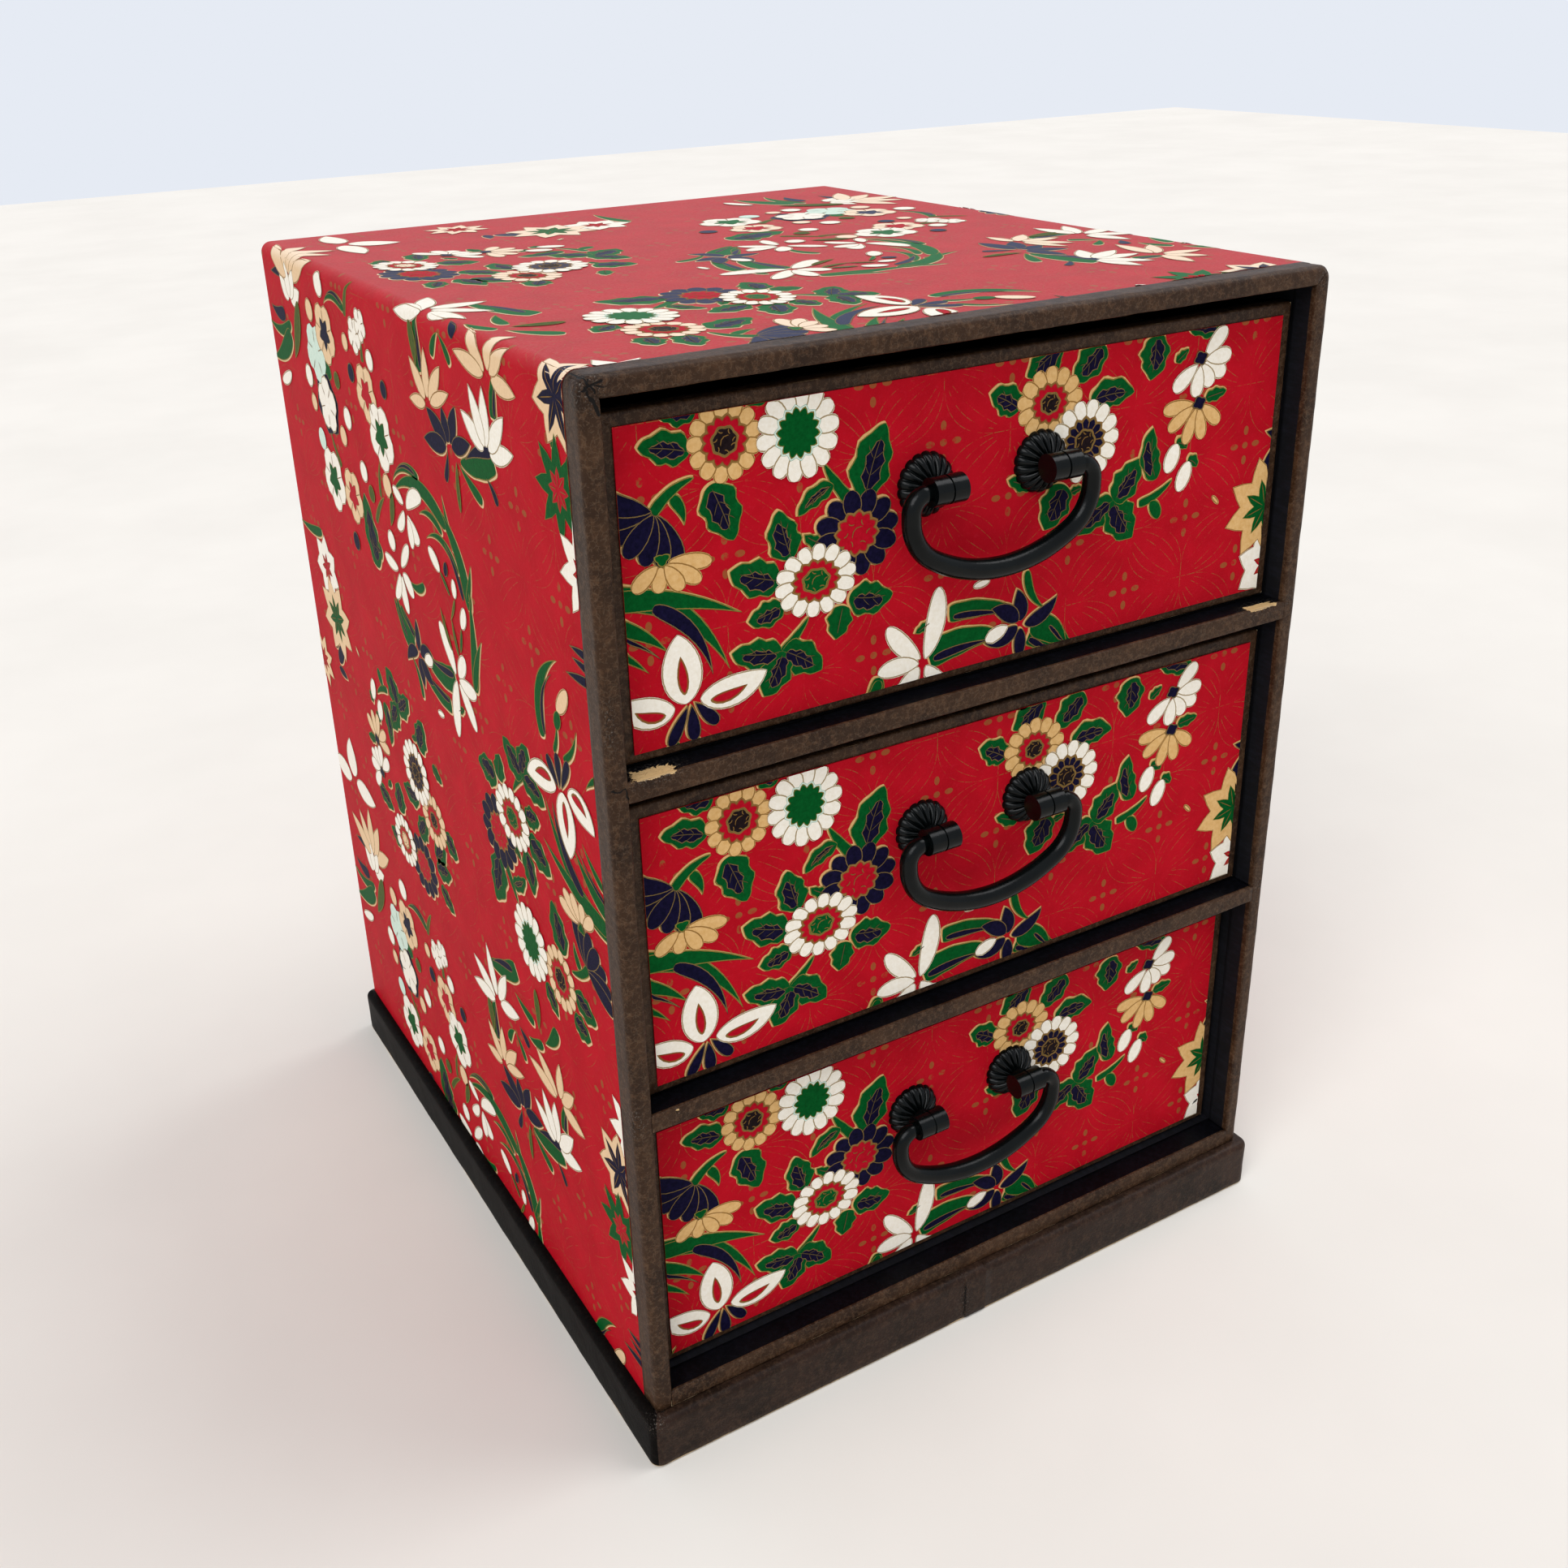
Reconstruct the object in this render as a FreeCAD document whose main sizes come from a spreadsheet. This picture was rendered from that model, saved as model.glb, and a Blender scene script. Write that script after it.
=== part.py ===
import FreeCAD, Part
import math
import os

from FreeCAD import Placement, Rotation, Vector

# A tabletop chest of three drawers, built of board and covered with printed washi paper.
# The origin is the middle of its underside, +Z is up and the drawers open towards -Y.

doc = FreeCAD.newDocument("PaperCoveredChest")

SIZES = (
    # The cabinet, measured over its paper
    ("cabinet_width", "260", "outside width of the cabinet"),
    ("cabinet_depth", "294", "outside depth of the cabinet"),
    ("cabinet_height", "342", "height of the cabinet above its plinth"),
    ("edge_radius", "4", "rounding of the cabinet's outer edges"),
    ("side_thickness", "6", "width of the frame at each side of the opening"),
    ("top_thickness", "6", "width of the frame above the opening"),
    ("floor_thickness", "6.5", "width of the frame below the opening"),
    ("shelf_thickness", "6.5", "thickness of a covered shelf"),
    ("back_thickness", "6", "thickness of the covered back"),
    ("paper", "0.4", "thickness of every paper sheet with its paste"),
    ("binding_lap", "9.5", "how far the edge binding laps onto the sides and into the bays"),
    ("back_turn", "12", "how far the side sheet turns onto the back"),
    # The plinth
    ("base_height", "20", "height of the plinth"),
    ("base_overhang", "4", "how far the plinth stands out from the cabinet"),
    ("base_edge_radius", "4", "rounding of the plinth's upper edge and corners"),
    ("base_panel_thickness", "5", "thickness of the plinth's top panel"),
    ("base_rail_width", "18", "width of the plinth's rails"),
    ("underside_inset", "2", "how far the underside sheet stays inside the plinth"),
    # The drawers
    ("front_recess", "7.5", "how far the drawer fronts lie behind the frame"),
    ("bottom_inset", "3.5", "how much further the bottom drawer is pushed in"),
    ("front_side_gap", "1.8", "gap at each side of a drawer"),
    ("front_foot_gap", "1", "gap below a drawer front"),
    ("front_head_gap", "5.5", "gap above a drawer front"),
    ("front_thickness", "7", "thickness of a covered drawer front"),
    ("border_side", "4.1", "dark border at each side of the washi panel"),
    ("border_top", "4", "dark border above the washi panel"),
    ("border_foot", "3", "dark border below the washi panel"),
    ("runner_gap", "0.3", "running gap under a drawer"),
    ("rear_gap", "6", "free depth behind a closed drawer"),
    ("side_drop", "15.7", "how far the drawer's sides end below the head of its front"),
    ("drawer_side_thickness", "5", "thickness of the drawer's side boards"),
    ("drawer_back_thickness", "5", "thickness of the drawer's back board"),
    ("drawer_bottom_thickness", "4", "thickness of the drawer's bottom board"),
    # The handles
    ("handle_drop", "35.4", "depth of the rosettes below the head of the drawer front"),
    ("handle_pitch", "42", "distance between the two posts"),
    ("rosette_radius", "9.8", "outer radius of a rosette"),
    ("rosette_rim", "1.2", "thickness of a rosette at its rim"),
    ("rosette_height", "5.4", "height of a rosette at its seat for the post"),
    ("rosette_seat_radius", "3.6", "radius of the flat seat on the rosette"),
    ("flute_radius", "0.75", "radius of the grooves between the rosette's lobes"),
    ("flute_start_radius", "4.4", "distance of the grooves' inner ends from the centre"),
    ("pivot_offset", "10.3", "distance of the bail's axis from the drawer front"),
    ("pivot_rise", "0.8", "height of the bail's axis above the rosette's centre"),
    ("knuckle_radius", "4.3", "radius of the knuckle that holds the bail"),
    ("knuckle_length", "11", "length of the knuckle"),
    ("knuckle_groove_width", "0.7", "width of the groove round the middle of the knuckle"),
    ("knuckle_groove_depth", "0.35", "depth of that groove"),
    ("shank_radius", "3.4", "radius of the post between rosette and knuckle"),
    ("stud_radius", "1.9", "radius of the threaded stud behind the post"),
    ("stud_clearance", "0.1", "clearance of the stud in its holes"),
    ("stud_tail", "1.5", "length of the stud behind its nut"),
    ("nut_radius", "4", "radius of the nut over its corners"),
    ("nut_thickness", "3.2", "thickness of the nut"),
    ("bail_rod_radius", "3.2", "radius of the bail's rod"),
    ("bail_pin_radius", "2.2", "radius of the bail's ends inside the knuckles"),
    ("bail_pin_length", "6.5", "length of each end inside its knuckle"),
    ("pin_clearance", "0.1", "running clearance round the bail's ends"),
    ("bail_gap", "0.8", "gap between the rod and the end of the knuckle"),
    ("bail_curl_radius", "5.5", "bend from the pin down to the arm"),
    ("bail_arm", "1.6", "straight length of the arm"),
    ("bail_side_radius", "15", "bend from the arm into the bow"),
    ("bail_bow_radius", "50", "bend of the bow's lowest stretch"),
)

PLACES = [
    ("half_width", "Sizes.cabinet_width / 2"),
    ("front", "-Sizes.cabinet_depth / 2"),
    ("back", "Sizes.cabinet_depth / 2"),
    ("top", "Sizes.base_height + Sizes.cabinet_height"),
    ("opening_half", "half_width - Sizes.side_thickness"),
    ("opening_floor", "Sizes.base_height + Sizes.floor_thickness"),
    ("opening_ceiling", "top - Sizes.top_thickness"),
    ("bay_height", "(opening_ceiling - opening_floor - 2 * Sizes.shelf_thickness) / 3"),
    ("lower_shelf_under", "opening_floor + bay_height"),
    ("middle_floor", "lower_shelf_under + Sizes.shelf_thickness"),
    ("upper_shelf_under", "middle_floor + bay_height"),
    ("top_floor", "upper_shelf_under + Sizes.shelf_thickness"),
    ("board_half", "half_width - Sizes.paper"),
    ("board_front", "front + Sizes.paper"),
    ("board_back", "back - Sizes.paper"),
    ("board_top", "top - Sizes.paper"),
    ("inner_half", "opening_half + Sizes.paper"),
    ("inner_ceiling", "opening_ceiling + Sizes.paper"),
    ("inner_floor", "opening_floor - Sizes.paper"),
    ("inner_back", "back - Sizes.back_thickness"),
    ("bay_end", "inner_back - Sizes.paper"),
    ("lap_end", "front + Sizes.binding_lap"),
    ("back_sheet_half", "half_width - Sizes.back_turn"),
    ("back_sheet_top", "top - Sizes.back_turn"),
    ("base_half", "half_width + Sizes.base_overhang"),
    ("base_front", "front - Sizes.base_overhang"),
    ("base_back", "back + Sizes.base_overhang"),
    ("base_board_top", "Sizes.base_height - Sizes.paper"),
    ("base_panel_under", "base_board_top - Sizes.base_panel_thickness"),
    ("base_rail_reach", "Sizes.paper + Sizes.base_rail_width"),
    ("front_half", "opening_half - Sizes.front_side_gap"),
    ("drawer_end", "bay_end - Sizes.rear_gap"),
    ("box_half", "front_half - Sizes.drawer_side_thickness"),
    ("post_place", "Sizes.handle_pitch / 2"),
    ("knuckle_end", "post_place + Sizes.knuckle_length / 2"),
    ("collar_length", "(Sizes.knuckle_length - Sizes.knuckle_groove_width) / 2"),
    ("rod_start", "knuckle_end + Sizes.bail_gap"),
    ("stud_hole", "Sizes.stud_radius + Sizes.stud_clearance"),
    ("shank_start", "Sizes.pivot_offset - Sizes.rosette_height"),
]

# Each drawer with the floor and the ceiling of its bay and how much further it is pushed in
DRAWERS = (
    ("top", "top_floor", "opening_ceiling", "0"),
    ("middle", "middle_floor", "upper_shelf_under", "0"),
    ("bottom", "opening_floor", "lower_shelf_under", "Sizes.bottom_inset"),
)
for which, floor, ceiling, inset in DRAWERS:
    PLACES += [
        (f"{which}_face", f"front + Sizes.front_recess + {inset}"),
        (f"{which}_cover_face", f"{which}_face + Sizes.paper"),
        (f"{which}_board_face", f"{which}_cover_face + Sizes.paper"),
        (f"{which}_board_rear", f"{which}_face + Sizes.front_thickness"),
        (f"{which}_lining_face", f"{which}_board_rear + Sizes.paper"),
        (f"{which}_box_end", f"drawer_end + {inset}"),
        (f"{which}_back_face", f"{which}_box_end - Sizes.drawer_back_thickness"),
        (f"{which}_foot", f"{floor} + Sizes.front_foot_gap"),
        (f"{which}_head", f"{ceiling} - Sizes.front_head_gap"),
        (f"{which}_run", f"{floor} + Sizes.runner_gap"),
        (f"{which}_rim", f"{which}_head - Sizes.side_drop"),
        (f"{which}_tray", f"{which}_run + Sizes.drawer_bottom_thickness"),
        (f"{which}_rosette", f"{which}_head - Sizes.handle_drop"),
        (f"{which}_pivot", f"{which}_rosette + Sizes.pivot_rise"),
        (f"{which}_axis", f"{which}_face - Sizes.pivot_offset"),
    ]


def fill_sheet(name, rows):
    """A sheet with a note, a value and the value's alias in each row."""
    page = doc.addObject("Spreadsheet::Sheet", name)
    for line, (alias, content, note) in enumerate(rows, start=1):
        page.set(f"A{line}", note)
        page.set(f"B{line}", content)
        page.setAlias(f"B{line}", alias)
    return page


sizes = fill_sheet("Sizes", SIZES)
places = fill_sheet("Places", [(alias, "=" + formula, "worked out") for alias, formula in PLACES])
doc.recompute()


def minus(formula):
    return f"-({formula})"


def both_ways(formula):
    """The span from minus a value to that value."""
    return (minus(formula), formula)


def inset_by_paper(span):
    return (f"{span[0]} + Sizes.paper", f"{span[1]} - Sizes.paper")


def block(name, x, y, z):
    """A box between three pairs of formulas."""
    box = doc.addObject("Part::Box", name)
    for size, letter, (low, high) in (("Length", "x", x), ("Width", "y", y), ("Height", "z", z)):
        box.setExpression(size, f"({high}) - ({low})")
        box.setExpression(f".Placement.Base.{letter}", low)
    return box


def rounded_case(name, x, y, z, radius):
    """A block whose upper edges and upright corners are rounded."""
    body = doc.addObject("PartDesign::Body", name)
    core = body.newObject("PartDesign::AdditiveBox", name + "_block")
    for size, letter, (low, high) in (("Length", "x", x), ("Width", "y", y), ("Height", "z", z)):
        core.setExpression(size, f"({high}) - ({low})")
        body.setExpression(f".Placement.Base.{letter}", low)
    doc.recompute()
    clear_of_foot = core.Height.Value / 4
    edges = []
    for number, edge in enumerate(core.Shape.Edges, start=1):
        if edge.CenterOfMass.z > clear_of_foot:
            edges.append(f"Edge{number}")
    rounding = body.newObject("PartDesign::Fillet", name + "_rounding")
    rounding.Base = (core, edges)
    rounding.setExpression("Radius", radius)
    body.Tip = rounding
    return body


def boolean(kind, name, base, tool):
    result = doc.addObject(kind, name)
    result.Base = base
    result.Tool = tool
    return result


def cut(name, base, tool):
    return boolean("Part::Cut", name, base, tool)


def common(name, base, tool):
    return boolean("Part::Common", name, base, tool)


def fuse(name, shapes):
    result = doc.addObject("Part::MultiFuse", name)
    result.Shapes = shapes
    return result


def group(name, pieces):
    """Like pieces that stay separate solids in one sub-part."""
    result = doc.addObject("Part::Compound", name)
    result.Links = pieces
    return result


ALONG_X = Rotation(Vector(0, 1, 0), 90)
ALONG_Y = Rotation(Vector(1, 0, 0), -90)


def rod(name, turn, radius, length, start):
    """A cylinder that runs from its start along X or Y."""
    cylinder = doc.addObject("Part::Cylinder", name)
    cylinder.Placement = Placement(Vector(), turn)
    cylinder.setExpression("Radius", radius)
    cylinder.setExpression("Height", length)
    for letter, formula in zip("xyz", start):
        cylinder.setExpression(f".Placement.Base.{letter}", formula)
    return cylinder


def feature(name, shape):
    result = doc.addObject("Part::Feature", name)
    result.Shape = shape
    return result


subparts = []


def keep(*pieces):
    subparts.extend(pieces)


# Cabinet boards
width = both_ways("Places.half_width")
depth = ("Places.front", "Places.back")
height = ("Sizes.base_height", "Places.top")
board_depth = ("Places.front", "Places.inner_back")
inner_width = both_ways("Places.inner_half")

outer_case = rounded_case("outer_case", width, depth, height, "Sizes.edge_radius")
board_case = rounded_case(
    "board_case",
    both_ways("Places.board_half"),
    ("Places.board_front", "Places.board_back"),
    ("Sizes.base_height", "Places.board_top"),
    "Sizes.edge_radius - Sizes.paper",
)

upright = ("Sizes.base_height", "Places.inner_ceiling")
left_zone = block("left_side_zone", ("-Places.half_width", "-Places.inner_half"), board_depth, upright)
right_zone = block("right_side_zone", ("Places.inner_half", "Places.half_width"), board_depth, upright)
top_zone = block("top_zone", width, board_depth, ("Places.inner_ceiling", "Places.top"))
rear_zone = block("rear_zone", width, ("Places.inner_back", "Places.back"), height)
keep(
    common("left_side_board", board_case, left_zone),
    common("right_side_board", board_case, right_zone),
    common("top_board", board_case, top_zone),
    common("back_board", board_case, rear_zone),
)

board_run = ("Places.board_front", "Places.inner_back")
keep(block("bottom_board", inner_width, board_run, ("Sizes.base_height", "Places.inner_floor")))

SHELVES = (
    ("upper_shelf", ("Places.upper_shelf_under", "Places.top_floor")),
    ("lower_shelf", ("Places.lower_shelf_under", "Places.middle_floor")),
)
for name, span in SHELVES:
    keep(block(name + "_board", inner_width, board_run, inset_by_paper(span)))

# Washi over the cabinet: one sheet over left side, top and right side, and one on the back
skin = cut("skin", outer_case, board_case)
washi_zone = block("washi_zone", width, ("Places.lap_end", "Places.back"), height)
back_sheet_zone = block(
    "back_sheet_zone",
    both_ways("Places.back_sheet_half"),
    ("Places.board_back", "Places.back"),
    ("Sizes.base_height", "Places.back_sheet_top"),
)
washi_band = common("washi_band", skin, washi_zone)
keep(
    cut("washi_wrap", washi_band, back_sheet_zone),
    common("back_washi", skin, back_sheet_zone),
)

# Dark paper bindings round the front of the frame, mitred at the four corners
frame_zone = block("frame_zone", width, ("Places.front", "Places.lap_end"), height)
frame_band = common("frame_band", outer_case, frame_zone)
board_opening = block(
    "board_opening", inner_width, depth, ("Places.inner_floor", "Places.inner_ceiling")
)
shelf_zones = [block(name + "_zone", inner_width, board_depth, span) for name, span in SHELVES]
frame_boards = fuse("frame_boards", [cut("board_frame", board_case, board_opening)] + shelf_zones)


def mitred_zone(name, turn, start, long_side, short_side, thickness):
    """A bar whose section narrows from the outside of the frame to its opening."""
    wedge = doc.addObject("Part::Wedge", name)
    wedge.Placement = Placement(Vector(), turn)
    for letter, formula in zip("xyz", start):
        wedge.setExpression(f".Placement.Base.{letter}", formula)
    depth_letter, side_letter = ("X", "Z") if turn.Axis.z else ("Z", "X")
    wedge.setExpression("Ymin", "0")
    wedge.setExpression("Ymax", thickness)
    for letter, outer, inner in (
        (side_letter, long_side, short_side),
        (depth_letter, both_ways("Places.back"), both_ways("Places.back")),
    ):
        wedge.setExpression(f"{letter}min", outer[0])
        wedge.setExpression(f"{letter}max", outer[1])
        wedge.setExpression(f"{letter}2min", inner[0])
        wedge.setExpression(f"{letter}2max", inner[1])
    return wedge


opening_width = both_ways("Places.opening_half")
opening_upright = ("Places.opening_floor", "Places.opening_ceiling")
FRAME_SIDES = (
    ("left", Rotation(Vector(0, 0, 1), -90), ("-Places.half_width", "0", "0"), height, opening_upright,
     "Sizes.side_thickness"),
    ("right", Rotation(Vector(0, 0, 1), 90), ("Places.half_width", "0", "0"), height, opening_upright,
     "Sizes.side_thickness"),
    ("top", Rotation(Vector(1, 0, 0), -90), ("0", "0", "Places.top"), width, opening_width,
     "Sizes.top_thickness"),
    ("bottom", Rotation(Vector(1, 0, 0), 90), ("0", "0", "Sizes.base_height"), width, opening_width,
     "Sizes.floor_thickness"),
)
for side, turn, start, long_side, short_side, thickness in FRAME_SIDES:
    zone = mitred_zone(f"{side}_binding_zone", turn, start, long_side, short_side, thickness)
    strip = common(f"{side}_binding_strip", frame_band, zone)
    keep(cut(f"{side}_edge_binding", strip, frame_boards))

# Dark paper folded round the front edge of each shelf
lap_run = ("Places.front", "Places.lap_end")
for name, span in SHELVES:
    folded = block(name + "_fold", opening_width, lap_run, span)
    board_run_in_fold = ("Places.board_front", "Places.lap_end")
    board_in_fold = block(name + "_in_fold", opening_width, board_run_in_fold, inset_by_paper(span))
    keep(cut(name + "_binding", folded, board_in_fold))

# Dark lining paper in each bay: floor, walls, ceiling and back
for which, floor, ceiling, inset in DRAWERS:
    papered = block(
        f"{which}_bay_space",
        inner_width,
        ("Places.lap_end", "Places.inner_back"),
        (f"Places.{floor} - Sizes.paper", f"Places.{ceiling} + Sizes.paper"),
    )
    free = block(
        f"{which}_bay_free",
        opening_width,
        ("Places.lap_end", "Places.bay_end"),
        (f"Places.{floor}", f"Places.{ceiling}"),
    )
    keep(cut(f"{which}_bay_lining", papered, free))

# Plinth: a panel on four rails, wrapped in dark paper and closed by a sheet underneath
base_case = rounded_case(
    "base_case",
    both_ways("Places.base_half"),
    ("Places.base_front", "Places.base_back"),
    ("Sizes.paper", "Sizes.base_height"),
    "Sizes.base_edge_radius",
)
base_board_case = rounded_case(
    "base_board_case",
    inset_by_paper(both_ways("Places.base_half")),
    inset_by_paper(("Places.base_front", "Places.base_back")),
    ("Sizes.paper", "Places.base_board_top"),
    "Sizes.base_edge_radius - Sizes.paper",
)
base_width = both_ways("Places.base_half")
base_depth = ("Places.base_front", "Places.base_back")
rail_height = ("Sizes.paper", "Places.base_panel_under")
rail_front = "Places.base_front + Places.base_rail_reach"
rail_back = "Places.base_back - Places.base_rail_reach"
rail_side = "Places.base_half - Places.base_rail_reach"
panel_zone = block("panel_zone", base_width, base_depth, ("Places.base_panel_under", "Sizes.base_height"))
front_rail_zone = block("front_rail_zone", base_width, ("Places.base_front", rail_front), rail_height)
back_rail_zone = block("back_rail_zone", base_width, (rail_back, "Places.base_back"), rail_height)
left_rail_zone = block(
    "left_rail_zone", ("-Places.base_half", minus(rail_side)), (rail_front, rail_back), rail_height
)
right_rail_zone = block(
    "right_rail_zone", (rail_side, "Places.base_half"), (rail_front, rail_back), rail_height
)
keep(
    common("base_panel", base_board_case, panel_zone),
    group("base_cross_rails", [
        common("base_front_rail", base_board_case, front_rail_zone),
        common("base_back_rail", base_board_case, back_rail_zone),
    ]),
    group("base_side_rails", [
        common("base_left_rail", base_board_case, left_rail_zone),
        common("base_right_rail", base_board_case, right_rail_zone),
    ]),
    cut("base_wrap", base_case, base_board_case),
    block(
        "base_underside",
        both_ways("Places.base_half - Sizes.underside_inset"),
        ("Places.base_front + Sizes.underside_inset", "Places.base_back - Sizes.underside_inset"),
        ("0", "Sizes.paper"),
    ),
)


FLUTES = 18


def rosette_shape(x, face, centre_height):
    """A low dome, notched round its rim, with grooves that run up it between its lobes."""
    rim_radius = sizes.get("rosette_radius")
    rim = sizes.get("rosette_rim")
    tall = sizes.get("rosette_height")
    seat = sizes.get("rosette_seat_radius")
    flute = sizes.get("flute_radius")
    # The dome is part of a ball through the rim and through the edge of the seat
    rise = tall - rim
    ball_drop = (rim_radius ** 2 - seat ** 2 - rise ** 2) / (2 * rise)
    ball_radius = math.hypot(rim_radius, ball_drop)
    out = Vector(0, -1, 0)
    foot = Vector(x, face, centre_height)
    ball_centre = foot + out * (rim - ball_drop)
    rim_disc = Part.makeCylinder(rim_radius, rim, foot, out)
    dome_slab = Part.makeCylinder(rim_radius, rise, foot + out * rim, out)
    dome = rim_disc.fuse(Part.makeSphere(ball_radius, ball_centre).common(dome_slab))
    # Each groove is part of a ring round the ball's centre and runs out past the rim
    first = math.asin(sizes.get("flute_start_radius") / ball_radius)
    last = math.asin(rim_radius / ball_radius)
    sweep = math.degrees(last - first) + math.degrees(flute / ball_radius)
    hole = Part.makeCylinder(places.get("stud_hole"), tall, foot, out)
    notches = []
    grooves = []
    for number in range(FLUTES):
        radial = Rotation(out, number * 360 / FLUTES).multVec(Vector(1, 0, 0))
        start_way = out * math.cos(first) + radial * math.sin(first)
        along = radial * math.cos(first) - out * math.sin(first)
        ring = Part.makeCircle(flute, ball_centre + start_way * ball_radius, along)
        disc = Part.Face(Part.Wire(ring))
        grooves.append(disc.revolve(ball_centre, out.cross(radial), sweep))
        notches.append(Part.makeCylinder(flute, tall, foot + radial * rim_radius, out))
    return dome.cut(hole).cut(grooves).cut(notches).removeSplitter()


def bail_shape(axis_y, pivot_height):
    """A round rod bent in one plane: pin, curl, arm and side bend, and the bow between them."""
    rod_radius = sizes.get("bail_rod_radius")
    pin_radius = sizes.get("bail_pin_radius")
    curl = sizes.get("bail_curl_radius")
    arm = sizes.get("bail_arm")
    side = sizes.get("bail_side_radius")
    bow = sizes.get("bail_bow_radius")
    start = places.get("rod_start")
    half_span = start + curl
    side_height = -(curl + arm)
    # The bow's centre lies so that the bow meets the side bend without a corner
    bow_centre = side_height + math.sqrt((bow - side) ** 2 - (half_span - side) ** 2)
    lean = math.atan2(half_span - side, bow_centre - side_height)

    def at(x, z):
        return Vector(x, axis_y, pivot_height + z)

    def arc_point(centre_x, centre_z, radius, from_down):
        return at(centre_x + radius * math.sin(from_down), centre_z - radius * math.cos(from_down))

    meeting = arc_point(0, bow_centre, bow, lean)
    other_meeting = arc_point(0, bow_centre, bow, -lean)
    half_way = (lean + math.pi / 2) / 2
    curl_middle = curl * math.sqrt(1 / 2)
    path = Part.Wire([
        Part.Arc(at(start, 0), at(start + curl_middle, curl_middle - curl), at(half_span, -curl)).toShape(),
        Part.makeLine(at(half_span, -curl), at(half_span, side_height)),
        Part.Arc(
            at(half_span, side_height),
            arc_point(half_span - side, side_height, side, half_way),
            meeting,
        ).toShape(),
        Part.Arc(meeting, arc_point(0, bow_centre, bow, 0), other_meeting).toShape(),
        Part.Arc(
            other_meeting,
            arc_point(side - half_span, side_height, side, -half_way),
            at(-half_span, side_height),
        ).toShape(),
        Part.makeLine(at(-half_span, side_height), at(-half_span, -curl)),
        Part.Arc(
            at(-half_span, -curl), at(-start - curl_middle, curl_middle - curl), at(-start, 0)
        ).toShape(),
    ])
    section = Part.Wire(Part.makeCircle(rod_radius, at(start, 0), Vector(1, 0, 0)))
    swept = path.makePipeShell([section], True, False)
    if swept.Volume < 0:
        swept.reverse()
    expected = math.pi * rod_radius ** 2 * path.Length
    print("bail rod volume", round(swept.Volume, 1), "and section times length", round(expected, 1))
    pin_run = sizes.get("bail_pin_length") + sizes.get("bail_gap")
    right_pin = Part.makeCylinder(pin_radius, pin_run, at(start, 0), Vector(-1, 0, 0))
    left_pin = Part.makeCylinder(pin_radius, pin_run, at(-start, 0), Vector(1, 0, 0))
    return swept.fuse([right_pin, left_pin]).removeSplitter()


def post(which, side, sign):
    """A turned post: shank, grooved knuckle with the bail's bore in its outer end, and threaded stud."""
    centre = f"{sign} * Places.post_place"
    name = f"{which}_{side}_post"
    axis = f"Places.{which}_axis"
    pivot = f"Places.{which}_pivot"
    rosette = f"Places.{which}_rosette"
    knuckle_start = f"{centre} - Sizes.knuckle_length / 2"
    core_radius = "Sizes.knuckle_radius - Sizes.knuckle_groove_depth"
    core = rod(name + "_core", ALONG_X, core_radius, "Sizes.knuckle_length", (knuckle_start, axis, pivot))
    collars = [
        rod(f"{name}_{end}_collar", ALONG_X, "Sizes.knuckle_radius", "Places.collar_length", (start, axis, pivot))
        for end, start in (
            ("first", knuckle_start),
            ("second", f"{centre} + Sizes.knuckle_groove_width / 2"),
        )
    ]
    shank = rod(name + "_shank", ALONG_Y, "Sizes.shank_radius", "Places.shank_start", (centre, axis, rosette))
    stud_length = f"Places.{which}_lining_face + Sizes.nut_thickness + Sizes.stud_tail - {axis}"
    stud = rod(name + "_stud", ALONG_Y, "Sizes.stud_radius", stud_length, (centre, axis, rosette))
    solid = fuse(name + "_solid", [core, shank, stud] + collars)
    bore_depth = "Sizes.bail_pin_length + Sizes.pin_clearance"
    bore_start = "Places.knuckle_end - Sizes.bail_pin_length - Sizes.pin_clearance"
    if sign < 0:
        bore_start = "-Places.knuckle_end"
    bore_radius = "Sizes.bail_pin_radius + Sizes.pin_clearance"
    bore = rod(name + "_bore", ALONG_X, bore_radius, bore_depth, (bore_start, axis, pivot))
    return cut(name, solid, bore)


def nut(which, side, sign):
    """A six-sided nut on the stud, tight against the drawer's lining."""
    name = f"{which}_{side}_nut"
    hexagon = doc.addObject("Part::Prism", name + "_blank")
    hexagon.Polygon = 6
    hexagon.Placement = Placement(Vector(), ALONG_Y)
    hexagon.setExpression("Circumradius", "Sizes.nut_radius")
    hexagon.setExpression("Height", "Sizes.nut_thickness")
    start = (f"{sign} * Places.post_place", f"Places.{which}_lining_face", f"Places.{which}_rosette")
    for letter, formula in zip("xyz", start):
        hexagon.setExpression(f".Placement.Base.{letter}", formula)
    return cut(name, hexagon, rod(name + "_hole", ALONG_Y, "Places.stud_hole", "Sizes.nut_thickness", start))


SIDES = (("left", -1), ("right", 1))


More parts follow.
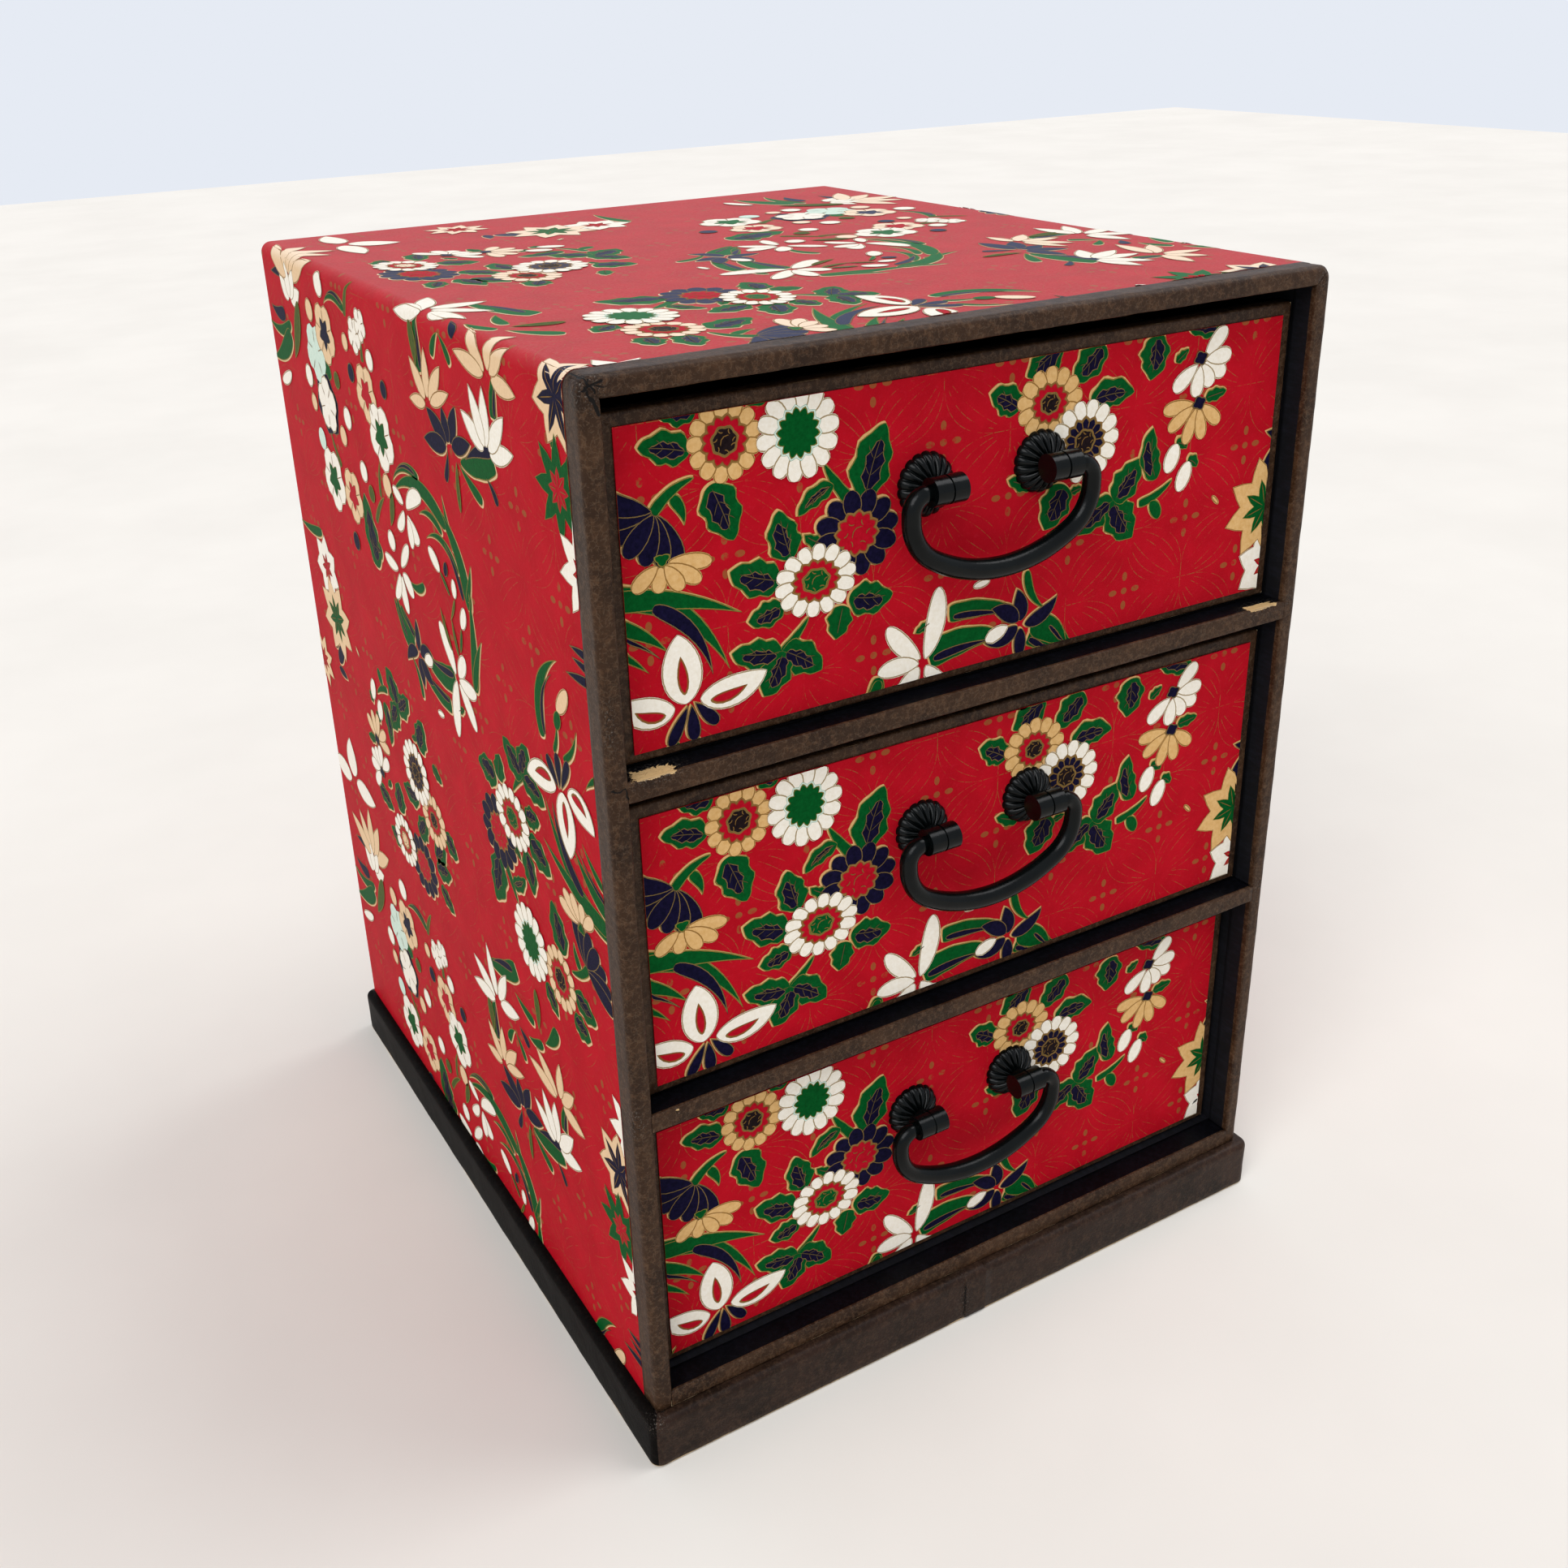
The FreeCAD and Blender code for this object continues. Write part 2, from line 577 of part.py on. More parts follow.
def build_drawer(which):
    """One drawer with its papers and its handle."""
    face = f"Places.{which}_face"
    cover_face = f"Places.{which}_cover_face"
    board_face = f"Places.{which}_board_face"
    board_rear = f"Places.{which}_board_rear"
    back_face = f"Places.{which}_back_face"
    box_end = f"Places.{which}_box_end"
    front_span = (f"Places.{which}_foot", f"Places.{which}_head")
    side_span = (f"Places.{which}_run", f"Places.{which}_rim")
    front_width = both_ways("Places.front_half")
    box_width = both_ways("Places.box_half")
    name = f"{which}_drawer"

    # Holes for the two studs through everything at the front
    lining_face = f"Places.{which}_lining_face"
    hole_length = f"{lining_face} - {face}"
    holes = fuse(name + "_holes", [
        rod(
            f"{name}_{side}_hole", ALONG_Y, "Places.stud_hole", hole_length,
            (f"{sign} * Places.post_place", face, f"Places.{which}_rosette"),
        )
        for side, sign in SIDES
    ])

    front_solid = block(
        name + "_front_solid",
        inset_by_paper(front_width),
        (board_face, board_rear),
        inset_by_paper(front_span),
    )
    cover_solid = block(name + "_cover_solid", front_width, (cover_face, board_rear), front_span)
    washi_solid = block(
        name + "_washi_solid",
        both_ways("Places.front_half - Sizes.border_side"),
        (face, cover_face),
        (f"{front_span[0]} + Sizes.border_foot", f"{front_span[1]} - Sizes.border_top"),
    )
    lining_solid = block(
        name + "_lining_solid", box_width, (board_rear, back_face), (f"Places.{which}_tray", side_span[1])
    )
    lining_space = block(
        name + "_lining_space",
        inset_by_paper(box_width),
        inset_by_paper((board_rear, back_face)),
        (f"Places.{which}_tray + Sizes.paper", side_span[1]),
    )
    keep(
        cut(name + "_front_board", front_solid, holes),
        cut(name + "_front_cover", cover_solid, fuse(name + "_cover_cuts", [front_solid, holes])),
        cut(name + "_front_washi", washi_solid, holes),
        cut(name + "_lining", lining_solid, fuse(name + "_lining_cuts", [lining_space, holes])),
        block(name + "_left_side", ("-Places.front_half", "-Places.box_half"), (board_rear, box_end), side_span),
        block(name + "_right_side", ("Places.box_half", "Places.front_half"), (board_rear, box_end), side_span),
        block(name + "_back", box_width, (back_face, box_end), side_span),
        block(
            name + "_bottom", box_width, (board_rear, back_face), (f"Places.{which}_run", f"Places.{which}_tray")
        ),
    )

    place = places.get("post_place")
    rosettes = [
        rosette_shape(sign * place, places.get(f"{which}_face"), places.get(f"{which}_rosette"))
        for side, sign in SIDES
    ]
    keep(
        feature(f"{which}_handle_rosettes", Part.makeCompound(rosettes)),
        group(f"{which}_handle_posts", [post(which, side, sign) for side, sign in SIDES]),
        group(f"{which}_handle_nuts", [nut(which, side, sign) for side, sign in SIDES]),
        feature(f"{which}_bail", bail_shape(places.get(f"{which}_axis"), places.get(f"{which}_pivot"))),
    )


for which, floor, ceiling, inset in DRAWERS:
    build_drawer(which)

doc.recompute()
for thing in doc.Objects:
    if "Invalid" in thing.State or "Error" in thing.State:
        raise RuntimeError(f"{thing.Label} failed: {thing.State}")
for piece in subparts:
    if piece.Shape.isNull() or not piece.Shape.isValid() or not piece.Shape.Solids:
        raise RuntimeError(f"{piece.Label} has no valid solid")

os.makedirs("parts", exist_ok=True)
for piece in subparts:
    piece.Shape.exportStep(f"parts/{piece.Label}.step")
print(len(subparts), "sub-parts written")
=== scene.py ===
import math

import bmesh
import bpy
import numpy as np
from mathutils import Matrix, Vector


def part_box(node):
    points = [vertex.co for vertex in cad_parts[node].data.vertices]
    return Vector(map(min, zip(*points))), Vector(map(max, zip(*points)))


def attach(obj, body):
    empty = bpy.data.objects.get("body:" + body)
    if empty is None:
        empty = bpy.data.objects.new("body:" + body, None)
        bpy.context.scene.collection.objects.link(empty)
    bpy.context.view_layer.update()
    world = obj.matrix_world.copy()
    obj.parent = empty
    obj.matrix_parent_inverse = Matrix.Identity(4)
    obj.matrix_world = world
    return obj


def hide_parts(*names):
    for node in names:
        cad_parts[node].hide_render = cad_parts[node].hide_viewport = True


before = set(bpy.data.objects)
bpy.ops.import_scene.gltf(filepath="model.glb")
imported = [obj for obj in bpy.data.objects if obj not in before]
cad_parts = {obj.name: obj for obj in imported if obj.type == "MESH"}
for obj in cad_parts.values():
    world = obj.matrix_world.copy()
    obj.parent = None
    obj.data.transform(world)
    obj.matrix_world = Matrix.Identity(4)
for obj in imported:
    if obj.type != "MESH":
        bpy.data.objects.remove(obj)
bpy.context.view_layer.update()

MM = 0.001


# The view. The camera stands at arm's length from the front left corner and looks down at the chest.
# Its small shift only places the chest in the frame.
CAMERA_PLACE_MM = (-287.0, -510.5, 448.6)
CAMERA_TURN_DEGREES = (65.444, 1.626, -30.531)
LENS_MM = 37.39
SHIFT_SHARES = (0.0087, -0.0392)

lens = bpy.data.cameras.new("view")
lens.sensor_width = 36
lens.lens = LENS_MM
lens.shift_x, lens.shift_y = SHIFT_SHARES
lens.clip_start = 10 * MM
camera = bpy.data.objects.new("view", lens)
camera.location = [MM * place for place in CAMERA_PLACE_MM]
camera.rotation_euler = [math.radians(turn) for turn in CAMERA_TURN_DEGREES]
bpy.context.scene.collection.objects.link(camera)
bpy.context.scene.camera = camera
bpy.context.scene.view_settings.view_transform = "Standard"


# The floor and the light. A pale matt floor lies in a pale room with soft daylight from all round, and
# two wide windows, one on the left and a higher one on the right, give the soft shadows.
def hex_colour(text):
    """An sRGB hex colour as linear red, green, blue and alpha, each part taken through the sRGB curve."""
    parts = np.array([int(text[place:place + 2], 16) for place in (1, 3, 5)]) / 255
    linear = np.where(parts <= 0.04045, parts / 12.92, ((parts + 0.055) / 1.055) ** 2.4)
    return (*linear.tolist(), 1.0)


def add_node(nodes, kind, sockets=None, **settings):
    """Adds a node with its settings. A socket gets a plain value, or a link written as (node, output)."""
    node = nodes.new(kind)
    for name, value in settings.items():
        setattr(node, name, value)
    for name, value in (sockets or {}).items():
        if isinstance(value, tuple) and isinstance(value[0], bpy.types.Node):
            nodes.id_data.links.new(value[0].outputs[value[1]], node.inputs[name])
        else:
            node.inputs[name].default_value = value
    return node


def start_material(name):
    """A new material, the list that its nodes go in, and the place of a spot in its object's own frame."""
    material = bpy.data.materials.new(name)
    material.use_nodes = True
    nodes = material.node_tree.nodes
    nodes.clear()
    return material, nodes, (add_node(nodes, "ShaderNodeTexCoord"), "Object")


def finish_material(nodes, **sockets):
    """Ends a material with its shader. Each socket's name is written with underscores for spaces."""
    sockets = {name.replace("_", " "): value for name, value in sockets.items()}
    shader = add_node(nodes, "ShaderNodeBsdfPrincipled", sockets)
    add_node(nodes, "ShaderNodeOutputMaterial", {"Surface": (shader, 0)})


def noise_at(nodes, place, blob_mm, detail=4.0, roughness=0.5):
    """A noise in space whose blobs are about blob_mm wide."""
    sockets = {"Vector": place, "Scale": 0.5 / (blob_mm * MM), "Detail": detail, "Roughness": roughness}
    return add_node(nodes, "ShaderNodeTexNoise", sockets)


def spread(nodes, value, low, high, least=0.0, most=1.0):
    """A value that is least at low and below, most at high and above, and runs evenly in between."""
    sockets = {"Value": value, "From Min": low, "From Max": high, "To Min": least, "To Max": most}
    return add_node(nodes, "ShaderNodeMapRange", sockets), 0


def mixed(nodes, share, first, second):
    """A colour that is the first where the share is 0 and the second where it is 1."""
    return add_node(nodes, "ShaderNodeMix", {0: share, 6: first, 7: second}, data_type="RGBA"), 2


def mottled(nodes, place, blob_mm, shades, contrast=(0.35, 0.65), rough_detail=0.6, stretch=(1, 1, 1)):
    """Two shades in soft blobs: a noise whose blobs are about blob_mm wide chooses between them.

    The blobs are longer along an axis whose stretch is over 1. Gives the mixed colour and the noise.
    """
    scaled = add_node(nodes, "ShaderNodeMapping", {"Vector": place, "Scale": [1 / part for part in stretch]})
    noise = (noise_at(nodes, (scaled, 0), blob_mm, roughness=rough_detail), 0)
    first, second = (hex_colour(shade) if isinstance(shade, str) else shade for shade in shades)
    return mixed(nodes, spread(nodes, noise, *contrast), first, second), noise


def mesh_object(name, points_mm, quads, materials, slots=None):
    """An object from an array of points in mm and an array of four-cornered faces."""
    mesh = bpy.data.meshes.new(name)
    mesh.vertices.add(len(points_mm))
    mesh.vertices.foreach_set("co", (np.asarray(points_mm) * MM).astype(np.float32).ravel())
    mesh.loops.add(quads.size)
    mesh.loops.foreach_set("vertex_index", np.asarray(quads, np.int32).ravel())
    mesh.polygons.add(len(quads))
    mesh.polygons.foreach_set("loop_start", np.arange(0, quads.size, 4, dtype=np.int32))
    mesh.polygons.foreach_set("use_smooth", np.ones(len(quads), bool))
    for material in materials:
        mesh.materials.append(material)
    if slots is not None:
        mesh.polygons.foreach_set("material_index", np.asarray(slots, np.int32))
    mesh.update(calc_edges=True)
    piece = bpy.data.objects.new(name, mesh)
    bpy.context.scene.collection.objects.link(piece)
    return piece


FLOOR_HALF_MM = 4000.0
ROOM_STRENGTH = 0.62
floor_paint, nodes, object_place = start_material("matt_pale_floor_paint")
floor_tone, _ = mottled(nodes, object_place, 120, ("#e4e0d9", "#e9e5de"))
finish_material(nodes, Base_Color=floor_tone, Roughness=0.9, Specular_IOR_Level=0.2)
floor_corners = FLOOR_HALF_MM * np.array([[-1, -1, 0], [1, -1, 0], [1, 1, 0], [-1, 1, 0]], float)
mesh_object("floor", floor_corners, np.array([[0, 1, 2, 3]]), [floor_paint])

room = bpy.data.worlds.new("room")
room.use_nodes = True
bpy.context.scene.world = room
nodes = room.node_tree.nodes
nodes.clear()
daylight = add_node(
    nodes, "ShaderNodeBackground", {"Color": hex_colour("#f6f7fc"), "Strength": ROOM_STRENGTH}
)
wall = add_node(nodes, "ShaderNodeBackground", {"Color": hex_colour("#e6ebf4"), "Strength": 1.0})
ray = add_node(nodes, "ShaderNodeLightPath")
shown = (ray, "Is Camera Ray")
for kind in ("Is Glossy Ray", "Is Transmission Ray"):
    shown = (add_node(nodes, "ShaderNodeMath", {0: shown, 1: (ray, kind)}, operation="MAXIMUM"), 0)
seen = add_node(nodes, "ShaderNodeMixShader", {0: shown, 1: (daylight, 0), 2: (wall, 0)})
add_node(nodes, "ShaderNodeOutputWorld", {"Surface": (seen, 0)})

LAMPS = (
    # name, where it shines from, its strength in W/m2, how wide it looks in degrees
    ("left_window", (-1500, -1000, 1700), 1.5, 36.0),
    ("high_window", (1500, -250, 2300), 1.1, 35.0),
)
for name, place, strength, width_degrees in LAMPS:
    lamp = bpy.data.lights.new(name, "SUN")
    lamp.energy = strength
    lamp.angle = math.radians(width_degrees)
    lamp_object = bpy.data.objects.new(name, lamp)
    level = math.hypot(place[0], place[1])
    lamp_object.rotation_euler = (
        math.atan2(level, place[2]), 0, math.atan2(place[1], place[0]) + math.pi / 2,
    )
    bpy.context.scene.collection.objects.link(lamp_object)


# Boards: grey-brown pasteboard, seen inside the drawers and where the paper is chipped away.
# Pressed pulp gives it a matt face with fine flecks.
def raised(nodes, height, depth_mm):
    """The relief of a height that is depth_mm from 0 to 1."""
    return add_node(nodes, "ShaderNodeBump", {"Height": height, "Distance": depth_mm * MM}), 0


pasteboard, nodes, object_place = start_material("pressed_pulp_pasteboard")
slow_tone, _ = mottled(nodes, object_place, 25, ("#a9926f", "#bda582"))
board_flecks, fleck_noise = mottled(nodes, object_place, 0.8, ("#8f7a5e", slow_tone), (0.32, 0.5), 0.75)
board_relief = raised(nodes, fleck_noise, 0.05)
finish_material(nodes, Base_Color=board_flecks, Roughness=0.92, Specular_IOR_Level=0.2, Normal=board_relief)


def dress(material, *names):
    """Puts a material in every slot of carried-over nodes."""
    for name in names:
        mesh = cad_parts[name].data
        if not mesh.materials:
            mesh.materials.append(material)
        for slot in range(len(mesh.materials)):
            mesh.materials[slot] = material


DRAWERS = ("top", "middle", "bottom")
dress(
    pasteboard, "left_side_board", "right_side_board", "top_board", "bottom_board", "back_board",
    "upper_shelf_board", "lower_shelf_board", "base_panel", "base_cross_rails", "base_side_rails",
)
for which in DRAWERS:
    dress(
        pasteboard,
        *(f"{which}_drawer_{part}" for part in ("front_board", "left_side", "right_side", "back", "bottom")),
    )


# Linings: navy-black dyed kozo paper pasted in the bays, in the drawers and under the plinth.
# Long soft fibres, barely lighter than the ground, keep it from looking flat.
lining_paper, nodes, object_place = start_material("navy_black_kozo_paper")
lining_tone, lining_noise = mottled(
    nodes, object_place, 0.8, ("#07070b", "#15151e"), (0.45, 0.8), 0.7, (1, 4, 1),
)
lining_relief = raised(nodes, lining_noise, 0.05)
finish_material(nodes, Base_Color=lining_tone, Roughness=0.75, Specular_IOR_Level=0.2, Normal=lining_relief)
dress(lining_paper, "base_underside", *(f"{which}_bay_lining" for which in DRAWERS))
dress(lining_paper, *(f"{which}_drawer_lining" for which in DRAWERS))


# The red washi: mulberry paper printed with a worn gold lattice under the flowers, pasted over the
# cabinet as one roll and on each drawer front. Its fibres show as a fine cloud and a soft sheen.
LATTICE_ACROSS_MM, LATTICE_CROSS_MM = 24.2, (58.0, -34.5)
ROLL_REPEAT_MM = 241.0
LATTICE_UP_MM = ROLL_REPEAT_MM / 12
LATTICE_MM_PER_TURN = 2 / math.hypot(1 / LATTICE_ACROSS_MM, 1 / LATTICE_UP_MM)
LINE_HALF_MM = 0.12
# The gold's greatest share, and how far the top is paled by a painted sheen
GOLD_SHARE, SHEEN_SHARE = 0.75, 0.3

# Each row adds one step of the formula: its name, what is done, and the one or two values it takes
DIAMONDS = (
    ("one", "ADD", "across", "up"), ("one", "MULTIPLY", "one", 0.5),
    ("two", "SUBTRACT", "across", "up"), ("two", "MULTIPLY", "two", 0.5),
    ("near_one", "ROUND", "one", 0.0), ("near_one", "SUBTRACT", "one", "near_one"),
    ("near_two", "ROUND", "two", 0.0), ("near_two", "SUBTRACT", "two", "near_two"),
)
POINTED_OVALS = (
    ("from_side", "ABSOLUTE", "near_this", 0.0), ("from_side", "SUBTRACT", 0.5, "from_side"),
    ("along", "MULTIPLY", "near_other", "near_other"), ("along", "MULTIPLY", "along", 4.0),
    ("swell", "SUBTRACT", 1.0, "along"), ("swell", "MAXIMUM", "swell", 0.001),
    ("level", "DIVIDE", "from_side", "swell"),
    ("inside", "LESS_THAN", "level", 0.33),
    ("ring", "ADD", "level", -0.03), ("ring", "MULTIPLY", "ring", 10.0), ("ring", "FRACT", "ring", 0.0),
    ("ring", "SUBTRACT", "ring", 0.5), ("ring", "ABSOLUTE", "ring", 0.0),
    ("ring", "MULTIPLY", "ring", "swell"), ("ring", "MULTIPLY", "ring", 0.1 * LATTICE_MM_PER_TURN),
    ("line", "LESS_THAN", "ring", LINE_HALF_MM),
    ("dash", "MULTIPLY", "near_other", 11.0), ("dash", "FRACT", "dash", 0.0),
    ("dash", "GREATER_THAN", "dash", 0.14),
    ("line", "MULTIPLY", "line", "dash"), ("line", "MULTIPLY", "line", "inside"),
    ("outer", "GREATER_THAN", "level", 0.23), ("broad", "GREATER_THAN", "swell", 0.55),
    ("broad", "MAXIMUM", "outer", "broad"), ("line", "MULTIPLY", "line", "broad"),
)
DOTS = (
    ("right", "ADD", "near_one", "near_two"), ("right", "MULTIPLY", "right", LATTICE_ACROSS_MM),
    ("right", "ABSOLUTE", "right", 0.0),
    ("high", "SUBTRACT", "near_one", "near_two"), ("high", "MULTIPLY", "high", LATTICE_UP_MM),
    ("high", "ABSOLUTE", "high", 0.0),
)
DOT = (
    ("wide", "SUBTRACT", "right", "middle_right"), ("wide", "DIVIDE", "wide", "half_width"),
    ("wide", "MULTIPLY", "wide", "wide"),
    ("tall", "SUBTRACT", "high", "middle_high"), ("tall", "DIVIDE", "tall", "half_height"),
    ("tall", "MULTIPLY", "tall", "tall"),
    ("round", "ADD", "wide", "tall"), ("round", "LESS_THAN", "round", 1.0),
    ("dots", "ADD", "dots", "round"),
)
CROSS_DOTS_MM = ((0.0, 0.0, 1.2, 1.1), (4.7, 0.0, 1.6, 1.0), (0.0, 4.9, 1.0, 1.5))


def work_out(nodes, known, steps):
    """Adds one node for each step of a formula, and keeps its result under the step's name."""
    for name, operation, *values in steps:
        found = [known[value] if isinstance(value, str) else value for value in values]
        result = add_node(nodes, "ShaderNodeMath", dict(enumerate(found)), operation=operation)
        known[name] = (result, 0)


def gold_lattice(nodes, across, up, line_kept, dot_kept):
    """How far a spot of the sheet is printed gold, from 0 to 1.

    Places are counted in lattice steps from a cross. Two slanting counts, half the sum and half the
    difference of across and up, are whole at each cross. On both sides of every slanting line half way
    between two crosses lie three pointed ovals, one in the other: a line is drawn where the distance from
    the slanting line, over one less four times the squared distance along it, is near 0.08, 0.18 or 0.28.
    The inner two stop short of the crosses.
    """
    known = {"across": across, "up": up, "dots": 0.0, "line_kept": line_kept, "dot_kept": dot_kept}
    work_out(nodes, known, DIAMONDS)
    lines = []
    for this, other in (("near_one", "near_two"), ("near_two", "near_one")):
        known["near_this"], known["near_other"] = known[this], known[other]
        work_out(nodes, known, POINTED_OVALS)
        lines.append(known["line"])
    work_out(nodes, known, DOTS)
    for known[
        "middle_right"
    ], known["middle_high"], known["half_width"], known["half_height"] in CROSS_DOTS_MM:
        work_out(nodes, known, DOT)
    known["first"], known["second"] = lines
    work_out(nodes, known, (
        ("all", "ADD", "first", "second"), ("all", "MULTIPLY", "all", "line_kept"),
        ("dots", "MULTIPLY", "dots", "dot_kept"),
        ("all", "MAXIMUM", "all", "dots"),
    ))
    return known["all"]


def washi_relief(nodes, object_place, depth_mm):
    """Fine fibres over the slow cockle of a pasted sheet: their relief, and the fibres alone."""
    fibres = (noise_at(nodes, object_place, 0.45, roughness=0.7), 0)
    known = {"fibres": fibres, "cockle": (noise_at(nodes, object_place, 16, 1.0), 0)}
    work_out(nodes, known, (("cockle", "MULTIPLY", "cockle", 6.0), ("height", "ADD", "fibres", "cockle")))
    return raised(nodes, known["height"], depth_mm), fibres


def mark_at(nodes, name):
    """How strongly a spot is marked under a name, as mark_points has set it."""
    return add_node(nodes, "ShaderNodeAttribute", attribute_name=name), "Fac"


def red_washi(name, from_roll, origin_mm=(0.0, 0.0, 0.0), shift_mm=(0.0, 0.0)):
    """Red paper with the lattice, laid out by the roll's own map or across and up on an upright face.

    Where the marked share is 1, as on the top, it is paled towards pale pink: a painted sheen.
    """
    material, nodes, object_place = start_material(name)
    sheet_place = object_place
    if from_roll:
        sheet_place = (add_node(nodes, "ShaderNodeUVMap", uv_map="roll"), 0)
    split = add_node(nodes, "ShaderNodeSeparateXYZ", {0: sheet_place})
    known = {"across": (split, "X"), "up": (split, "Y" if from_roll else "Z")}
    starts = (
        origin_mm[0] + LATTICE_CROSS_MM[0] + shift_mm[0], origin_mm[2] + LATTICE_CROSS_MM[1] + shift_mm[1],
    )
    for way, start, step in zip(("across", "up"), starts, (LATTICE_ACROSS_MM, LATTICE_UP_MM)):
        work_out(nodes, known, ((way, "SUBTRACT", way, start * MM), (way, "DIVIDE", way, step * MM)))
    relief, fibres = washi_relief(nodes, object_place, 0.06)
    cloud, _ = mottled(nodes, object_place, 7, ("#a70d1c", "#b81122"), (0.3, 0.7))
    fine, _ = mottled(nodes, object_place, 0.6, (cloud, "#bf2236"), (0.55, 1.0), 0.75)
    worn = (noise_at(nodes, object_place, 3.0, roughness=0.75), 0)
    line_kept, dot_kept = (
        spread(nodes, worn, low, high, 0.0, GOLD_SHARE) for low, high in ((0.44, 0.6), (0.36, 0.48))
    )
    gold = gold_lattice(nodes, known["across"], known["up"], line_kept, dot_kept)
    colour = mixed(nodes, gold, fine, hex_colour("#8c5a30"))
    # A painted sheen: the top is paled towards pale pink
    known["painted_light"], known["fibres"] = mark_at(nodes, "painted_light"), fibres
    work_out(
        nodes, known, (("painted_light", "MULTIPLY", "painted_light", "fibres"), ("painted_light", "MULTIPLY", "painted_light", SHEEN_SHARE)),
    )
    paled = mixed(nodes, known["painted_light"], colour, hex_colour("#d3a3a0"))
    finish_material(nodes, Base_Color=paled, Roughness=0.45, Specular_IOR_Level=0.014, Normal=relief)
    return material


EDGE_RADIUS_MM = 4.0
ARC_POINTS = 9
SHEET_START_MM = (-8.7, 200.6)
STRETCH_ACROSS, STRETCH_UP = 1.038, 1.015
TOP_SLIP_MM, TOP_SLIP_SHARE = (-13.8, -3.0), -0.039
PAPER_MM = 0.4
RIM_ROW_MM = 0.3


def box_mm(node):
    """The low and the high corner of a carried-over node's box, in mm."""
    return [np.array(corner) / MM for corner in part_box(node)]


def ways_at(angles):
    """A row for each angle: its cosine and its sine."""
    return np.stack([np.cos(angles), np.sin(angles)], 1)


def mark_points(piece, name, values):
    """Keeps a value for each point of a piece under a name, for its material to read."""
    marks = piece.data.attributes.new(name, "FLOAT", "POINT")
    marks.data.foreach_set("value", np.asarray(values, np.float32).ravel())


def thicken(piece, thickness_mm):
    """Gives a sheet its thickness, inwards from the face that is drawn."""
    paper = piece.modifiers.new("paper", "SOLIDIFY")
    paper.thickness = thickness_mm * MM
    paper.offset = -1


wrap_low, wrap_high = box_mm("washi_wrap")
SIDE_RUN = wrap_high[2] - EDGE_RADIUS_MM
TOP_RUN = wrap_high[0] - wrap_low[0] - 2 * EDGE_RADIUS_MM
ARC_RUN = EDGE_RADIUS_MM * math.pi / 2
WHOLE_RUN = 2 * SIDE_RUN - wrap_low[2] + 2 * ARC_RUN + TOP_RUN


def on_cabinet(run, depth):
    """Points and outward normals on the cabinet at a run along the roll and a depth along Y, in mm.

    The run goes up the left side, round a quarter turn, along the top, round another and down the right.
    """
    left_turn = np.clip((run - SIDE_RUN) / EDGE_RADIUS_MM, 0, np.pi / 2)
    right_turn = np.clip((run - SIDE_RUN - ARC_RUN - TOP_RUN) / EDGE_RADIUS_MM, 0, np.pi / 2)
    turn = left_turn + right_turn
    normals = np.stack([-np.cos(turn), np.zeros_like(turn), np.sin(turn)], -1)
    along_top = np.clip(run - SIDE_RUN - ARC_RUN, 0, TOP_RUN)
    down_right = np.clip(run - SIDE_RUN - 2 * ARC_RUN - TOP_RUN, 0, None)
    height = np.minimum(run, SIDE_RUN) - down_right
    centre = np.stack([wrap_low[0] + EDGE_RADIUS_MM + along_top, depth, height], -1)
    return centre + EDGE_RADIUS_MM * normals, normals


def slipped(run, across):
    """How far the print has crept at a run and a place across the sheet.

    It is nothing on the left side and all there is from 60 mm along the top. The depth part also shrinks
    the print by a share of the place across.
    """
    share = np.clip((run - SIDE_RUN) / 60, 0, 1)
    return share * (TOP_SLIP_MM[0] + TOP_SLIP_SHARE * across), share * TOP_SLIP_MM[1]


def net_quads(corner):
    """The four-cornered faces between the neighbours in a net of point numbers."""
    return np.stack([corner[:-1, :-1], corner[1:, :-1], corner[1:, 1:], corner[:-1, 1:]], -1).reshape(-1, 4)


def grid_quads(rows, columns):
    """The four-cornered faces of a grid of points."""
    return net_quads(np.arange(rows * columns).reshape(rows, columns))


arc_steps = np.linspace(0, ARC_RUN, ARC_POINTS)
runs = np.unique(np.round(np.concatenate([
    [wrap_low[2] + RIM_ROW_MM, WHOLE_RUN - RIM_ROW_MM], np.linspace(wrap_low[2], SIDE_RUN, 60),
    SIDE_RUN + arc_steps,
    np.linspace(SIDE_RUN + ARC_RUN, SIDE_RUN + ARC_RUN + TOP_RUN, 50),
    SIDE_RUN + ARC_RUN + TOP_RUN + arc_steps, np.linspace(SIDE_RUN + 2 * ARC_RUN + TOP_RUN, WHOLE_RUN, 60),
]), 6))
depths = np.linspace(wrap_low[1], wrap_high[1], 40)
depths = np.insert(depths, [1, -1], [wrap_low[1] + RIM_ROW_MM, wrap_high[1] - RIM_ROW_MM])
run_grid, depth_grid = np.meshgrid(runs, depths, indexing="ij")
wrap_points, _ = on_cabinet(run_grid, depth_grid)
wrap_quads = grid_quads(len(runs), len(depths))
roll_paper = mesh_object(
    "cabinet_red_paper", wrap_points.reshape(-1, 3), wrap_quads, [red_washi("red_printed_washi_roll", True)]
)
rough_across = (depth_grid - SHEET_START_MM[0]) / STRETCH_ACROSS
crept_depth, crept_run = slipped(run_grid, rough_across)
roll_across = (depth_grid - crept_depth - SHEET_START_MM[0]) / STRETCH_ACROSS
roll_up = (SHEET_START_MM[1] - run_grid + crept_run) / STRETCH_UP
roll_map = roll_paper.data.uv_layers.new(name="roll")
flat_places = np.stack([roll_across.ravel(), roll_up.ravel()], 1)[wrap_quads.ravel()] * MM
roll_map.data.foreach_set("uv", flat_places.astype(np.float32).ravel())
